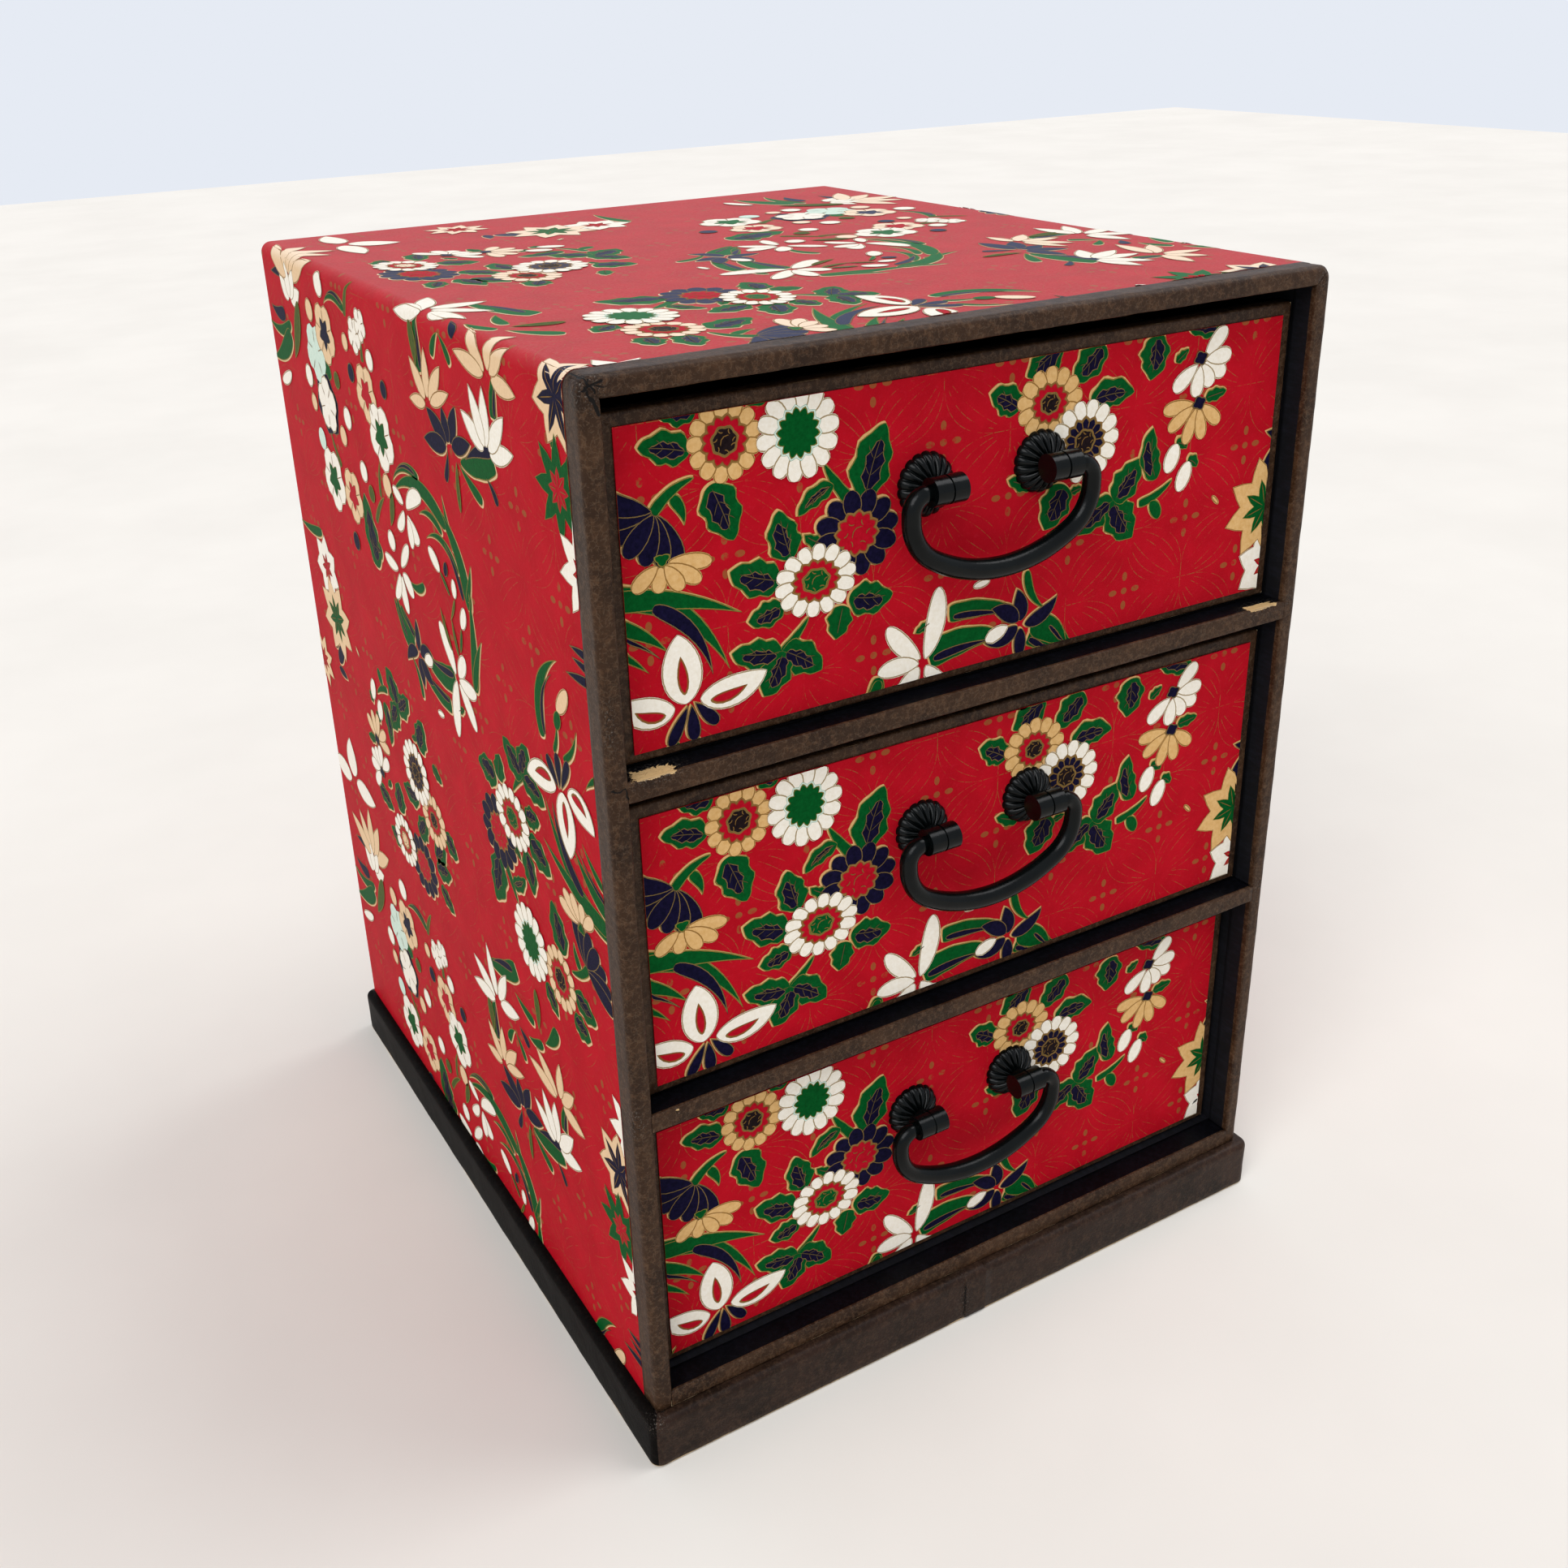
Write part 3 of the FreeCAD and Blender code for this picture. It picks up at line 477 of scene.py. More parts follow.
past_left, before_right = run_grid - SIDE_RUN, SIDE_RUN + 2 * ARC_RUN + TOP_RUN - run_grid
# The top of the roll is marked for its painted sheen
on_top = np.clip(past_left / ARC_RUN, 0, 1) * np.clip(before_right / ARC_RUN, 0, 1)
mark_points(roll_paper, "painted_light", on_top)
thicken(roll_paper, PAPER_MM)
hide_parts("washi_wrap")
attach(roll_paper, "cabinet")
back_low, back_high = box_mm("back_washi")
dress(red_washi("red_printed_washi_back", False, (back_low + back_high) / 2), "back_washi")

# The roll's rear edge is turned in over the back board, and the back sheet is pasted up to it
TURN_IN_MM = 0.35
inner_edge = np.array([
    [back_low[0], back_low[2]], [back_low[0], back_high[2]], [back_high[0], back_high[2]],
    [back_high[0], back_low[2]],
])
turn_corner = wrap_high[[0, 2]] - EDGE_RADIUS_MM
outer_arc = (EDGE_RADIUS_MM - PAPER_MM) * ways_at(np.linspace(np.pi, np.pi / 2, ARC_POINTS))
outer_left = np.concatenate([[[PAPER_MM - wrap_high[0], wrap_low[2]]], outer_arc + turn_corner * (-1, 1)])
outer_edge = np.concatenate([outer_left, outer_left[::-1] * (-1, 1)])
inner_line = np.concatenate([inner_edge[:1], np.repeat(inner_edge[1:3], ARC_POINTS, axis=0), inner_edge[3:]])
turn_front = np.stack([outer_edge, inner_line], 1)
turn_points = np.stack(
    [turn_front[..., 0], np.full(turn_front.shape[:2], back_low[1] + TURN_IN_MM), turn_front[..., 1]], -1,
)
turn_in = mesh_object(
    "cabinet_paper_turned_in", turn_points.reshape(-1, 3), grid_quads(len(outer_edge), 2)[:, ::-1],
    [red_washi("red_printed_washi_turn_in", False, (6.0, 0.0, 4.0))],
)
thicken(turn_in, TURN_IN_MM)
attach(turn_in, "cabinet")
DRAWER_SHIFT_MM = {"top": (0.0, 0.0), "middle": (-0.4, -1.2), "bottom": (1.8, -1.0)}
front_middles = {}
for which in DRAWERS:
    low, high = box_mm(f"{which}_drawer_front_washi")
    front_middles[which] = (low + high) / 2
    paper = red_washi(f"red_printed_washi_{which}_front", False, front_middles[which], DRAWER_SHIFT_MM[which])
    dress(paper, f"{which}_drawer_front_washi")


# Printing inks on the washi. Opaque screen inks lie on the paper, each shape keyed with a fine gold line
# just inside its edge. They take the relief of the paper and are a little glossier than it.
INKS = {
    # name: two shades of the fill, the key line, its depth inside the edge and half its width in mm
    "white": (("#ebe3d2", "#f6f1e6"), "#8f7746", 0.3, 0.17),
    "tan": (("#cfa263", "#e0b87e"), "#86602c", 0.3, 0.17),
    "navy": (("#0b0a1e", "#181433"), "#80693a", 0.2, 0.1),
    "green": (("#02441a", "#055724"), "#8c7638", 0.2, 0.1),
    "olive": (("#3d4a1c", "#536028"), "#8c7638", 0.25, 0.12),
    "red": (("#a50a1c", "#b81228"), "#7c4a26", 0.15, 0.12),
    "peach": (("#c89a60", "#d8ae76"), "#a87e44", 0.05, 0.05),
    "brown": (("#160f12", "#241a1c"), "#80693a", 0.2, 0.14),
    "gold": (("#7c5c2e", "#947240"), "#7c5c2e", 0.05, 0.05),
    "mint": (("#bfd8c8", "#dbe8da"), "#80a090", 0.05, 0.05),
    "umber": (("#56482f", "#6d5c3e"), "#56482f", 0.05, 0.05),
}
# Where the sheet is marked, an ink turns this far to a paler shade: a painted sheen on the top and painted
# light on the sides. A high power leaves it dark on the side
PALED = {
    "tan": ("#f6e4d0", 0.75, 1.0), "peach": ("#f3dfc8", 0.6, 1.0),
    "navy": ("#7f8aae", 0.16, 4.0), "green": ("#4fa06a", 0.2, 4.0),
}
INK_NAMES = tuple(INKS)
ink_materials = []
for name, (shades, key_line, line_depth_mm, line_half_mm) in INKS.items():
    ink, nodes, object_place = start_material(f"{name}_screen_ink")
    relief, fibres = washi_relief(nodes, object_place, 0.06)
    fill, _ = mottled(nodes, object_place, 0.7, shades, (0.3, 0.7), 0.7)
    known = {"edge": mark_at(nodes, "edge_mm"), "fibres": fibres, "painted_light": mark_at(nodes, "painted_light")}
    work_out(nodes, known, (
        ("wander", "SUBTRACT", "fibres", 0.5), ("wander", "MULTIPLY", "wander", 0.35),
        ("away", "ADD", "edge", "wander"), ("away", "SUBTRACT", "away", line_depth_mm),
        ("away", "ABSOLUTE", "away", 0.0),
    ))
    on_line = spread(nodes, known["away"], line_half_mm, line_half_mm + 0.08, 0.9, 0.0)
    # Inks are paled where marked: a painted sheen on the top, painted light on the sides
    pale_shade, pale_share, pale_power = PALED.get(name, (shades[1], 0.0, 1.0))
    work_out(
        nodes, known, (("painted_light", "POWER", "painted_light", pale_power), ("painted_light", "MULTIPLY", "painted_light", pale_share)),
    )
    paled = mixed(nodes, known["painted_light"], fill, hex_colour(pale_shade))
    keyed = mixed(nodes, on_line, paled, hex_colour(key_line))
    finish_material(nodes, Base_Color=keyed, Roughness=0.42, Specular_IOR_Level=0.014, Normal=relief)
    ink_materials.append(ink)

# How far each printed layer stands off the paper, in mm. Shapes of one layer rise by a hair, one by one.
LAYERS_MM = {
    "under": 0.05, "low": 0.075, "heart": 0.1, "base": 0.125, "fill": 0.15, "inner": 0.175, "ring": 0.2,
    "core": 0.225, "scribble": 0.25, "detail": 0.275,
}
HAIR_MM = 0.0012
# How far inks on the sides are paled by painted light
SIDE_PAINTED_LIGHT = 0.45
OVERLAP_MM = 0.16

# Outlines as the powers of the share run and of the share left, whose product gives the width, and a ripple
PETAL = (0.62, 0.42, 0.0)
FULL_PETAL = (0.7, 0.42, 0.0)
SLIM_PETAL = (0.75, 0.42, 0.0)
ROUND = (0.5, 0.5, 0.0)
LEAF = (0.5, 0.75, 0.12)
HEART = (0.45, 0.55, 0.2)
SPEAR = (0.6, 0.9, 0.0)
BLADE = (0.3, 1.0, 0.0)
BAND = (0.12, 0.5, 0.03)
LINE = (0.2, 0.2, 0.0)
CUP = (0.52, 0.33, 0.0)
POINTED_CUP = (0.62, 0.5, 0.0)
RIPPLES = 2.8
MIDRIB_MM, VEIN_MM, STAMEN_MM = 0.3, 0.24, 0.34
# A petal's width over its share of the flower's rim
CROWDED = 0.9072

sheet_art = []


def lay(ink, layer, starts, ends, widths, bends=0.0, outline=PETAL, steps=9, rows=2, over=0.0):
    """Prints shapes along bowed lines on the sheet, whose places are in mm across and up.

    Each middle line is the straight line from start to end, moved aside by 4 * bend * length * t * (1 - t).
    The half width at the share t is width / 2 * t**foot * (1 - t)**tip over that product's greatest value.
    """
    starts = np.atleast_2d(np.asarray(starts, float))
    ends = np.atleast_2d(np.asarray(ends, float))
    count = max(len(starts), len(ends))
    starts = np.broadcast_to(starts, (count, 2))
    ends = np.broadcast_to(ends, (count, 2))
    widths = np.broadcast_to(np.asarray(widths, float), (count,))
    bends = np.broadcast_to(np.asarray(bends, float), (count,))
    foot, tip, ripple = outline
    t = (1 - np.cos(np.pi * np.linspace(0, 1, steps + 1))) / 2
    peak = foot / (foot + tip)
    shape = t ** foot * (1 - t) ** tip / (peak ** foot * (1 - peak) ** tip)
    run = ends - starts
    length = np.hypot(run[:, 0], run[:, 1])[:, None]
    aside = np.stack([-run[:, 1], run[:, 0]], 1) / length
    bow = 4 * bends[:, None] * length
    middle = starts[:, None] + run[:, None] * t[:, None] + aside[:, None] * (bow * t * (1 - t))[..., None]
    heading = run[:, None] + aside[:, None] * (bow * (1 - 2 * t))[..., None]
    heading = heading / np.hypot(heading[..., 0], heading[..., 1])[..., None]
    left = np.stack([-heading[..., 1], heading[..., 0]], -1)
    side_share = np.linspace(1, -1, rows + 1)
    wave = 1 + ripple * np.sin(2 * np.pi * RIPPLES * t + starts[:, :1])
    half = widths[:, None] / 2 * shape * wave
    points = middle[:, :, None] + left[:, :, None] * (half[..., None] * side_share)[..., None]
    edge = half[..., None] * (1 - np.abs(side_share))
    sheet_art.append((INK_NAMES.index(ink), LAYERS_MM[layer] + over, points, edge))


def lay_disc(ink, layer, centre, radii, lobes=0, dip=0.0, turn=0.0, power=1.0, over=0.0):
    """Prints round, lobed or star shapes.

    The radius at an angle is the disc's radius times 1 - dip * w**power, where w goes evenly from 0 at the
    middle of each lobe to 1 between two lobes.
    """
    steps = lobes * max(4, 2 * round(12 / lobes)) if lobes else 24
    angle = turn + 2 * np.pi * np.arange(steps + 1) / steps
    between = np.abs(((angle - turn) * lobes / (2 * np.pi) + 0.5) % 1 - 0.5) * 2
    reach = 1 - dip * between ** power
    share = np.array([1.0, 0.55, 0.0])
    ring = reach[:, None] * share
    radii = np.broadcast_to(np.asarray(radii, float), (2,))
    points = np.stack(
        [np.cos(angle)[:, None] * ring * radii[0], np.sin(angle)[:, None] * ring * radii[1]], -1,
    )
    edge = np.broadcast_to((1 - share) * radii.min() * (1 - dip / 2), ring.shape)
    sheet_art.append(
        (
            INK_NAMES.index(ink), LAYERS_MM[layer] + over,
            (points + np.asarray(centre, float))[None, :, ::-1], edge[None, :, ::-1],
        ),
    )


# The print's second pass sits a little to the upper left, which leaves a peach rim on that side
MISPRINT_MM = np.array([-0.45, 0.36])
RIM_MM = 0.35


def lay_rimmed(ink, layer, starts, ends, widths, bends=0.0, outline=LEAF, steps=18, over=0.0):
    """A dark shape over a peach one that is a little larger and set off to the upper left."""
    starts = np.atleast_2d(np.asarray(starts, float))
    ends = np.atleast_2d(np.asarray(ends, float))
    widths = np.asarray(widths, float)
    run = ends - starts
    grow = 0.35 * run / np.hypot(run[:, 0], run[:, 1])[:, None]
    lay(
        "peach", "under", starts - grow + MISPRINT_MM, ends + grow + MISPRINT_MM, widths + RIM_MM, bends,
        outline, steps, 2, over,
    )
    lay(ink, layer, starts, ends, widths, bends, outline, steps, 2, over)


def lay_leaf(start, end, width, bend=0.0, heart=0.42, ink="green"):
    """A leaf with a ragged navy heart beside its midrib and dull gold veins."""
    start, end = np.array(start, float), np.array(end, float)
    run = end - start
    side = np.array([-run[1], run[0]])
    lay_rimmed(ink, "low", start, end, width, bend)
    middle = side * bend * 0.8
    unit = run / np.hypot(*run)
    twist = np.array([-unit[1], unit[0]])
    if heart:
        low = -0.07 * width * twist * np.sign(twist[1] + 1e-6)
        heart_start, heart_end = start + 0.1 * run + low, start + 0.78 * run + low
        lay(
            "navy", "heart", heart_start + middle, heart_end + middle, width * heart * 1.15, bend / 2,
            HEART, 12,
        )
    lay(
        "umber", "detail", start + 0.06 * run + middle / 2, start + 0.82 * run + middle / 2, MIDRIB_MM,
        bend / 2, LINE, 6, 1,
    )
    if not heart:
        return
    roots = start + middle + np.array([0.3, 0.52])[:, None] * run
    for sign in (-1, 1):
        tips = roots + width * 0.22 * (1.2 * unit + sign * twist)
        lay("umber", "detail", roots, tips, VEIN_MM, 0.06 * sign, LINE, 3, 1)


def lay_mum(
    centre, radii, petals, ink, ring=None, ring_share=0.55, core=None, core_share=0.33, turn=0.0, over=0.0,
):
    """A round chrysanthemum: petals on an oval, a lobed ring inside them and a core scribbled with gold."""
    centre = np.array(centre, float)
    radii = np.array(radii, float)
    angles = turn + 2 * np.pi * np.arange(petals) / petals
    ways = ways_at(angles)
    inner = centre + ways * radii * (ring_share - 0.2)
    outer = centre + ways * radii
    width = CROWDED * 2 * np.pi * radii.mean() / petals
    cup = POINTED_CUP if ink == "navy" else CUP
    if ink == "navy":
        lay(
            "peach", "under", inner + MISPRINT_MM, outer + ways * 0.35 + MISPRINT_MM, width + 0.7, 0.0, cup,
            9, 2, over,
        )
    lay_disc(ink, "base", centre, radii * 0.74, petals, 0.05, turn, 1.0, over)
    lay(ink, "fill", inner, outer, width, 0.0, cup, 9, 2, over)
    if ring:
        lay_disc(
            "mint" if ring == "green" else "gold", "inner", centre, radii * (ring_share + 0.05), petals, 0.14,
            turn + np.pi / petals, 1.0, over,
        )
        lay_disc(ring, "ring", centre, radii * ring_share, petals, 0.2, turn + np.pi / petals, 1.4, over)
    if core:
        lay_disc("gold", "core", centre, radii * core_share * 1.1, 7, 0.12, turn, 1.0, over)
        lay_disc(core, "scribble", centre, radii * core_share, 7, 0.12, turn, 1.0, over)
    if ring == "navy":
        share = np.array([core_share * 1.02, ring_share * 0.84])[:, None, None]
        lay("gold", "core", *(centre + share * radii * ways), STAMEN_MM, 0.0, LINE, 3, 1, over)
    scribbled = radii * (core_share if core else ring_share * 0.75)
    spots = centre + ways[::2] * scribbled * 0.55
    if core or ink == "navy":
        swirl = np.stack([-ways[::2, 1], ways[::2, 0]], 1)
        lay(
            "gold", "detail", spots - 0.22 * scribbled * swirl, spots + 0.3 * scribbled * ways[::2], 0.32,
            0.2, LINE, 5, 1, over,
        )
        lay("gold", "detail", centre - 0.3 * scribbled, centre + 0.35 * scribbled, 0.3, 0.3, LINE, 5, 1, over)


def lay_fan(base, tips, widths, ink, outline=SPEAR, gap=0.12):
    """A half flower: petals that spread from one base."""
    base = np.array(base, float)
    tips = np.array(tips, float)
    starts = base + (tips - base) * gap
    if ink == "navy":
        lay(
            "peach", "under", starts + MISPRINT_MM, tips + MISPRINT_MM, np.asarray(widths) + RIM_MM, 0.0,
            outline, 10,
        )
    lay(ink, "fill", starts, tips, widths, 0.0, outline, 10)


def lay_star(centre, radius, ink, inner_ink, inner_share=0.55, points=8, turn=0.0, dips=(0.42, 0.5)):
    """A maple star: sharp points round a smaller star of another ink, with gold ribs."""
    lay_disc(ink, "fill", centre, radius, points, dips[0], turn, 0.8)
    lay_disc(inner_ink, "inner", centre, radius * inner_share, points, dips[1], turn, 0.8)
    angles = turn + 2 * np.pi * np.arange(points) / points
    ways = ways_at(angles)
    lay(
        "gold", "detail", np.array(centre) + 1.0 * ways,
        np.array(centre) + inner_share * 0.85 * radius * ways, 0.3, 0.0, LINE, 3, 1,
    )


def lay_plum(centre, radius, ink, inner_ink=None, turn=0.3, over=0.0):
    """A five-petalled plum blossom with a small star inside and gold stamens."""
    lay_disc(ink, "fill", centre, radius, 5, 0.2, turn, 2.2, over)
    if inner_ink:
        lay_disc(inner_ink, "inner", centre, radius * 0.56, 5, 0.42, turn, 0.9, over)
    angles = turn + 2 * np.pi * (np.arange(5) + 0.5) / 5
    ways = ways_at(angles)
    lay(
        "gold", "detail", np.array(centre) + 0.3 * radius * ways, np.array(centre) + 0.78 * radius * ways,
        STAMEN_MM, 0.0, LINE, 3, 1, over,
    )


# Chrysanthemum spray on the left of a drawer front
lay_mum((-86, 37.5), (11.4, 11.4), 13, "tan", "red", 0.62, "brown", 0.36, 0.2)
lay_mum((-63.3, 36.2), (13.2, 13.6), 14, "white", "green", 0.54, None, turn=0.1, over=OVERLAP_MM)
lay_mum((-44.5, 4.3), (14.4, 13.0), 12, "navy", "red", 0.5, None, turn=0.15)
lay_mum((-58.5, -7), (13.6, 10.8), 14, "white", "red", 0.58, "green", 0.34, 0.12, OVERLAP_MM)
for leaf in (
    # start, end and width, and for some the bend and the heart's share of the width
    ((-96.5, 36), (-111.5, 39.5), 9.5, -0.05),
    ((-91, 26.3), (-84.3, 9.8), 12, 0.02),
    ((-41.5, 14), (-34.5, 34.5), 13.5, 0.05),
    ((-66, 1), (-70, 15.5), 10.5, 0.05),
    ((-70, -4.5), (-86, 1), 11, 0.04),
    ((-69.5, -12), (-80.8, -14.8), 8, 0.06),
    ((-47, -14), (-32, -16.3), 10.5, -0.08),
    ((-49.5, -16.5), (-52, -26.5), 8.5, 0.0, 0.0),
    ((-55.5, 3.5), (-62, 7.2), 4, 0.1, 0.0),
    ((-52, 19.5), (-63.8, 12.6), 6, -0.1, 0.3),
):
    lay_leaf(*leaf)
lay_rimmed("green", "low", (-46, 13.5), (-55, 26), 4, 0.03, BAND)
lay_leaf((-94, 47), (-106, 49), 9)
lay_leaf((-73, 46), (-81, 55), 8)
for tip, width in (((-86.5, -23), 9.5), ((-76.5, -38.5), 11), ((-56.8, -34.8), 10.5)):
    lay_leaf((-70, -26), tip, width, 0.05, 0.4)
lay_rimmed("green", "low", (-70, -26), (-61, -17.5), 3, -0.05, BAND)

# White orchid with navy petals, and its long blades
ORCHID = (
    ((-101.5, -34.5), (-103, -13.5), 12.8, 0.0),
    ((-105, -35), (-122, -29.5), 9.8, 0.12),
    ((-97, -34), (-75.3, -30.3), 9.8, -0.08),
)
for start, end, width, bend in ORCHID:
    run = np.array(end) - np.array(start)
    aside = np.array([-run[1], run[0]]) * bend
    lay("white", "core", start, end, width, bend, (0.6, 0.75, 0.0), 14)
    gold_start, gold_end = np.array(start) + 0.13 * run + aside, np.array(start) + 0.69 * run + aside
    lay("gold", "scribble", gold_start, gold_end, 3.6, bend, SPEAR, 8)
    slit_start, slit_end = np.array(start) + 0.16 * run + aside, np.array(start) + 0.66 * run + aside
    lay("red", "detail", slit_start, slit_end, 3.0, bend, SPEAR, 8)
lay_fan(
    (-99.8, -33.5), ((-107.2, -46.4), (-99.3, -46.2), (-91.6, -42.8)), (4.2, 4.6, 4.4), "navy",
    (0.9, 0.4, 0.0),
)
GREEN_BLADES = (
    ((-128, -0.5), (-82.5, -11.5), 6.6, 0.06),
    ((-128, 1), (-87, -27.5), 7.2, 0.16),
    ((-128, -5.5), (-105.5, -18.5), 5.2, 0.08),
    ((-125, -13.5), (-112, -23), 3.0, 0.05),
    ((-104, -46), (-114.5, -59), 2.8, -0.12),
    ((-97.5, -46), (-101, -57), 2.6, -0.1),
    ((-90, -47.5), (-105, -76.5), 6.4, 0.2),
    ((-127, -49), (-118, -42.5), 2.6, -0.05),
    ((-37, -42), (-40.5, -77), 6.2, -0.03),
    ((-40, -70), (-14, -100), 7.0, -0.17),
    ((-26, -93), (24, -92), 6.2, -0.17),
    ((-22, -90), (-1.5, -91.5), 3.2, -0.14),
    ((-33, -80), (-6, -84.5), 3.6, -0.2),
    ((-37, -43), (-47, -62.5), 4.6, 0.05),
    ((-38.5, -73), (-44.5, -86.5), 3.4, -0.04),
    ((-31, -87), (-25.5, -104), 3.4, 0.03),
    ((20, -38), (34, -54), 9.0, 0.2),
    ((2, -66), (20, -64), 3.6, 0.15),
    ((-5, -104), (22, -96.5), 3.8, -0.14),
    ((-61, -110), (-44, -118), 4.2, 0.03),
    ((-46, -147), (-38, -155), 3.6, -0.05),
    ((-31, -147), (-38, -155), 3.8, 0.08),
    ((-78, 62), (-66, 74), 5.8, 0.08),
    ((-58, 71), (-42, 67.5), 4.2, 0.05),
    ((-64, 76), (-51, 80), 4.2, 0.08),
    ((52, -148), (75, -147), 4.2, -0.16),
    ((122, -52), (152, -50), 4.6, 0.05),
    ((124, -129), (153, -116), 8.6, 0.08),
    ((122, -133), (153, -131), 5.0, 0.12),
    ((18, -19.5), (26.5, -34), 3.4, -0.14),
)
for start, end, width, bend in GREEN_BLADES:
    lay_rimmed("green", "low", start, end, width, bend, BLADE, 20)
NAVY_STRIPES = (
    ((-110, -4.5), (-92.5, -28), 4.8, 0.13),
    ((-127, -9), (-108, -20), 2.0, 0.08),
    ((-92, -49), (-101, -71), 2.4, 0.18),
    ((-127, -77), (-111, -75.5), 3.4, 0.0),
    ((-127, -80.5), (-116, -81.5), 2.8, 0.0),
    ((-127, -84.5), (-115, -84.5), 3.0, 0.0),
    ((-35, -72), (-22, -88), 3.2, -0.1),
    ((-2, -104.3), (20, -98.5), 1.8, -0.14),
    ((-72, -127), (-50, -120), 4.4, -0.06),
    ((-73, -112), (-66, -118.5), 3.2, -0.08),
    ((-31.5, -109.5), (-36, -120), 3.6, -0.05),
    ((-51, -156), (-43, -160), 4.2, 0.0),
    ((54, -149.5), (72, -149.2), 2.0, -0.16),
    ((-42, 59), (-22, 66), 3.2, -0.05),
    ((128, -136), (146, -137), 6.0, 0.1),
    ((120, -152), (140, -150), 5.0, 0.0),
)
for start, end, width, bend in NAVY_STRIPES:
    lay("navy", "heart", start, end, width, bend, BLADE, 14)

# White orchid, navy iris and leaves at the foot of a drawer front, part of a wreath
WHITE_PETALS = (
    ((-20.3, -40), (-15.5, -17.8), 7.4, -0.06),
    ((-22, -39.5), (-34, -26.8), 6.6, 0.05),
    ((-22.5, -41), (-37.5, -41), 6.4, -0.05),
    ((-22.5, -42), (-30, -51), 6.6, 0.0),
    ((-20, -42), (-9, -57), 7.6, -0.04),
    ((10.5, -87), (10, -76.5), 6.2, 0.1),
    ((10, -88), (0.5, -82), 7.4, -0.2),
    ((13.5, -88.5), (22.5, -80.5), 5.2, 0.1),
    ((10.5, -90), (-6, -97.5), 6.6, 0.1),
    ((13, -91), (22.5, -94.5), 4.8, 0.0),
    ((24.5, -62.5), (22, -49.5), 6.8, -0.1),
    ((23.5, -63.5), (14.5, -57.5), 6.4, 0.1),
    ((26.5, -63), (34.5, -52), 5.2, 0.1),
    ((27.5, -64.5), (41, -66), 5.2, 0.05),
    ((24, -66), (13.5, -76.5), 5.2, 0.0),
)
for start, end, width, bend in WHITE_PETALS:
    lay("white", "fill", start, end, width, bend, (0.6, 0.5, 0.0), 12)
IRIS_PETALS = (
    ((16, -35.5), (14.3, -24.8), 6.0, -0.05),
    ((15, -35.5), (4.3, -29.2), 6.0, -0.08),
    ((14.8, -37), (2, -40), 5.8, 0.12),
    ((17.5, -37), (30.3, -30), 5.4, -0.12),
    ((16, -38), (15.8, -50), 5.0, 0.0),
)
for start, end, width, bend in IRIS_PETALS:
    lay_rimmed("navy", "fill", start, end, width, bend, SPEAR)
lay("white", "core", (2.3, -39.2), (11, -36.2), 5.2, 0.0, (0.45, 0.6, 0.1))
for start, end, width, stripe in (
    ((-11.5, -27.5), (13, -31), 6.4, 2.6),
    ((-19, -39.3), (7, -37.5), 9.8, 3.2),
    ((19.5, -41), (31, -50), 7.0, 2.6),
    ((27.5, -38.5), (37, -51), 4.4, 1.8),
    ((-76, -137.5), (-79, -150), 5.2, 2.4),
    ((-19, -140), (-19.5, -158), 6.4, 3.0),
    ((-46, 57), (-20, 67), 8.4, 0.0),
    ((-73, -125), (-46, -118.5), 8.6, 0.0),
):
    lay_rimmed("green", "low", start, end, width, 0.05, BAND)
    if stripe:
        start, end = np.array(start), np.array(end)
        run = end - start
        drop = np.array([run[1], -run[0]]) / np.hypot(*run) * width * 0.16
        lay("navy", "heart", start + 0.06 * run + drop, end - 0.06 * run + drop, stripe, 0.03, BLADE, 10)
lay_leaf((-18.5, -28.5), (-24, -31), 3.2, 0.0, 0.0)
lay("white", "fill", (-2.8, -20.6), (3.6, -19.8), 2.8, 0.0, ROUND)
lay("tan", "fill", (93.4, -9), (96.6, -12.3), 1.8, 0.0, ROUND)

# Chrysanthemum spray on the right, with half flowers, buds and a maple star
lay_mum((24, 31.5), (12.4, 11.0), 13, "tan", "red", 0.55, "brown", 0.3, 0.1)
lay_mum((38, 17.8), (13.4, 12.8), 14, "white", "navy", 0.58, "brown", 0.3, 0.0, OVERLAP_MM)
lay_mum((44, 60), (14.6, 12.6), 12, "navy", "red", 0.52, None)
lay_mum((63.5, 58), (12.2, 10.6), 13, "white", "red", 0.56, "tan", 0.34, 0.0, OVERLAP_MM)
for leaf in (
    # start, end and width, and for some the bend and the heart's share of the width
    ((12.5, 31), (1.8, 37.2), 9.5, -0.08),
    ((43.5, 47), (32.5, 36.8), 10.5, 0.05),
    ((40, 29.5), (57, 30.2), 9.5, 0.08),
    ((64, 46.5), (63.2, 32.8), 11.5, 0.06),
    ((27, 49), (15, 40.5), 10.5, 0.05),
    ((73.3, 37), (78.5, 40.5), 3.6, 0.0, 0.0),
    ((91, 45.5), (75, 50), 8.5),
    ((18.5, 7), (9.3, 10.5), 5.4, 0.0, 0.0),
    ((31, 5.5), (24, -7.8), 12, 0.0, 0.5),
    ((33.2, 2.4), (38.5, 3.6), 3.0, 0.0, 0.0),
    ((68.8, 1), (66, 17.8), 8.2, 0.14, 0.4),
    ((87, 24), (96, 25.2), 4.6, 0.0, 0.0),
    ((70, 64), (82, 60), 7.5),
    ((26, 60), (13.5, 66), 7.5),
    ((28, 53), (12, 49.5), 9),
):
    lay_leaf(*leaf)
for tip, width in (((60.8, 8.8), 11), ((60, -16.8), 12.5), ((37, -12), 10)):
    lay_leaf((51, -3), tip, width, -0.05, 0.4)
lay_fan(
    (84, 36.2), ((93.8, 45.5), (96.6, 36.8), (94.6, 30.8), (89, 27.6), (82.5, 24.8), (73, 28)), 5.9, "white",
    SLIM_PETAL,
)
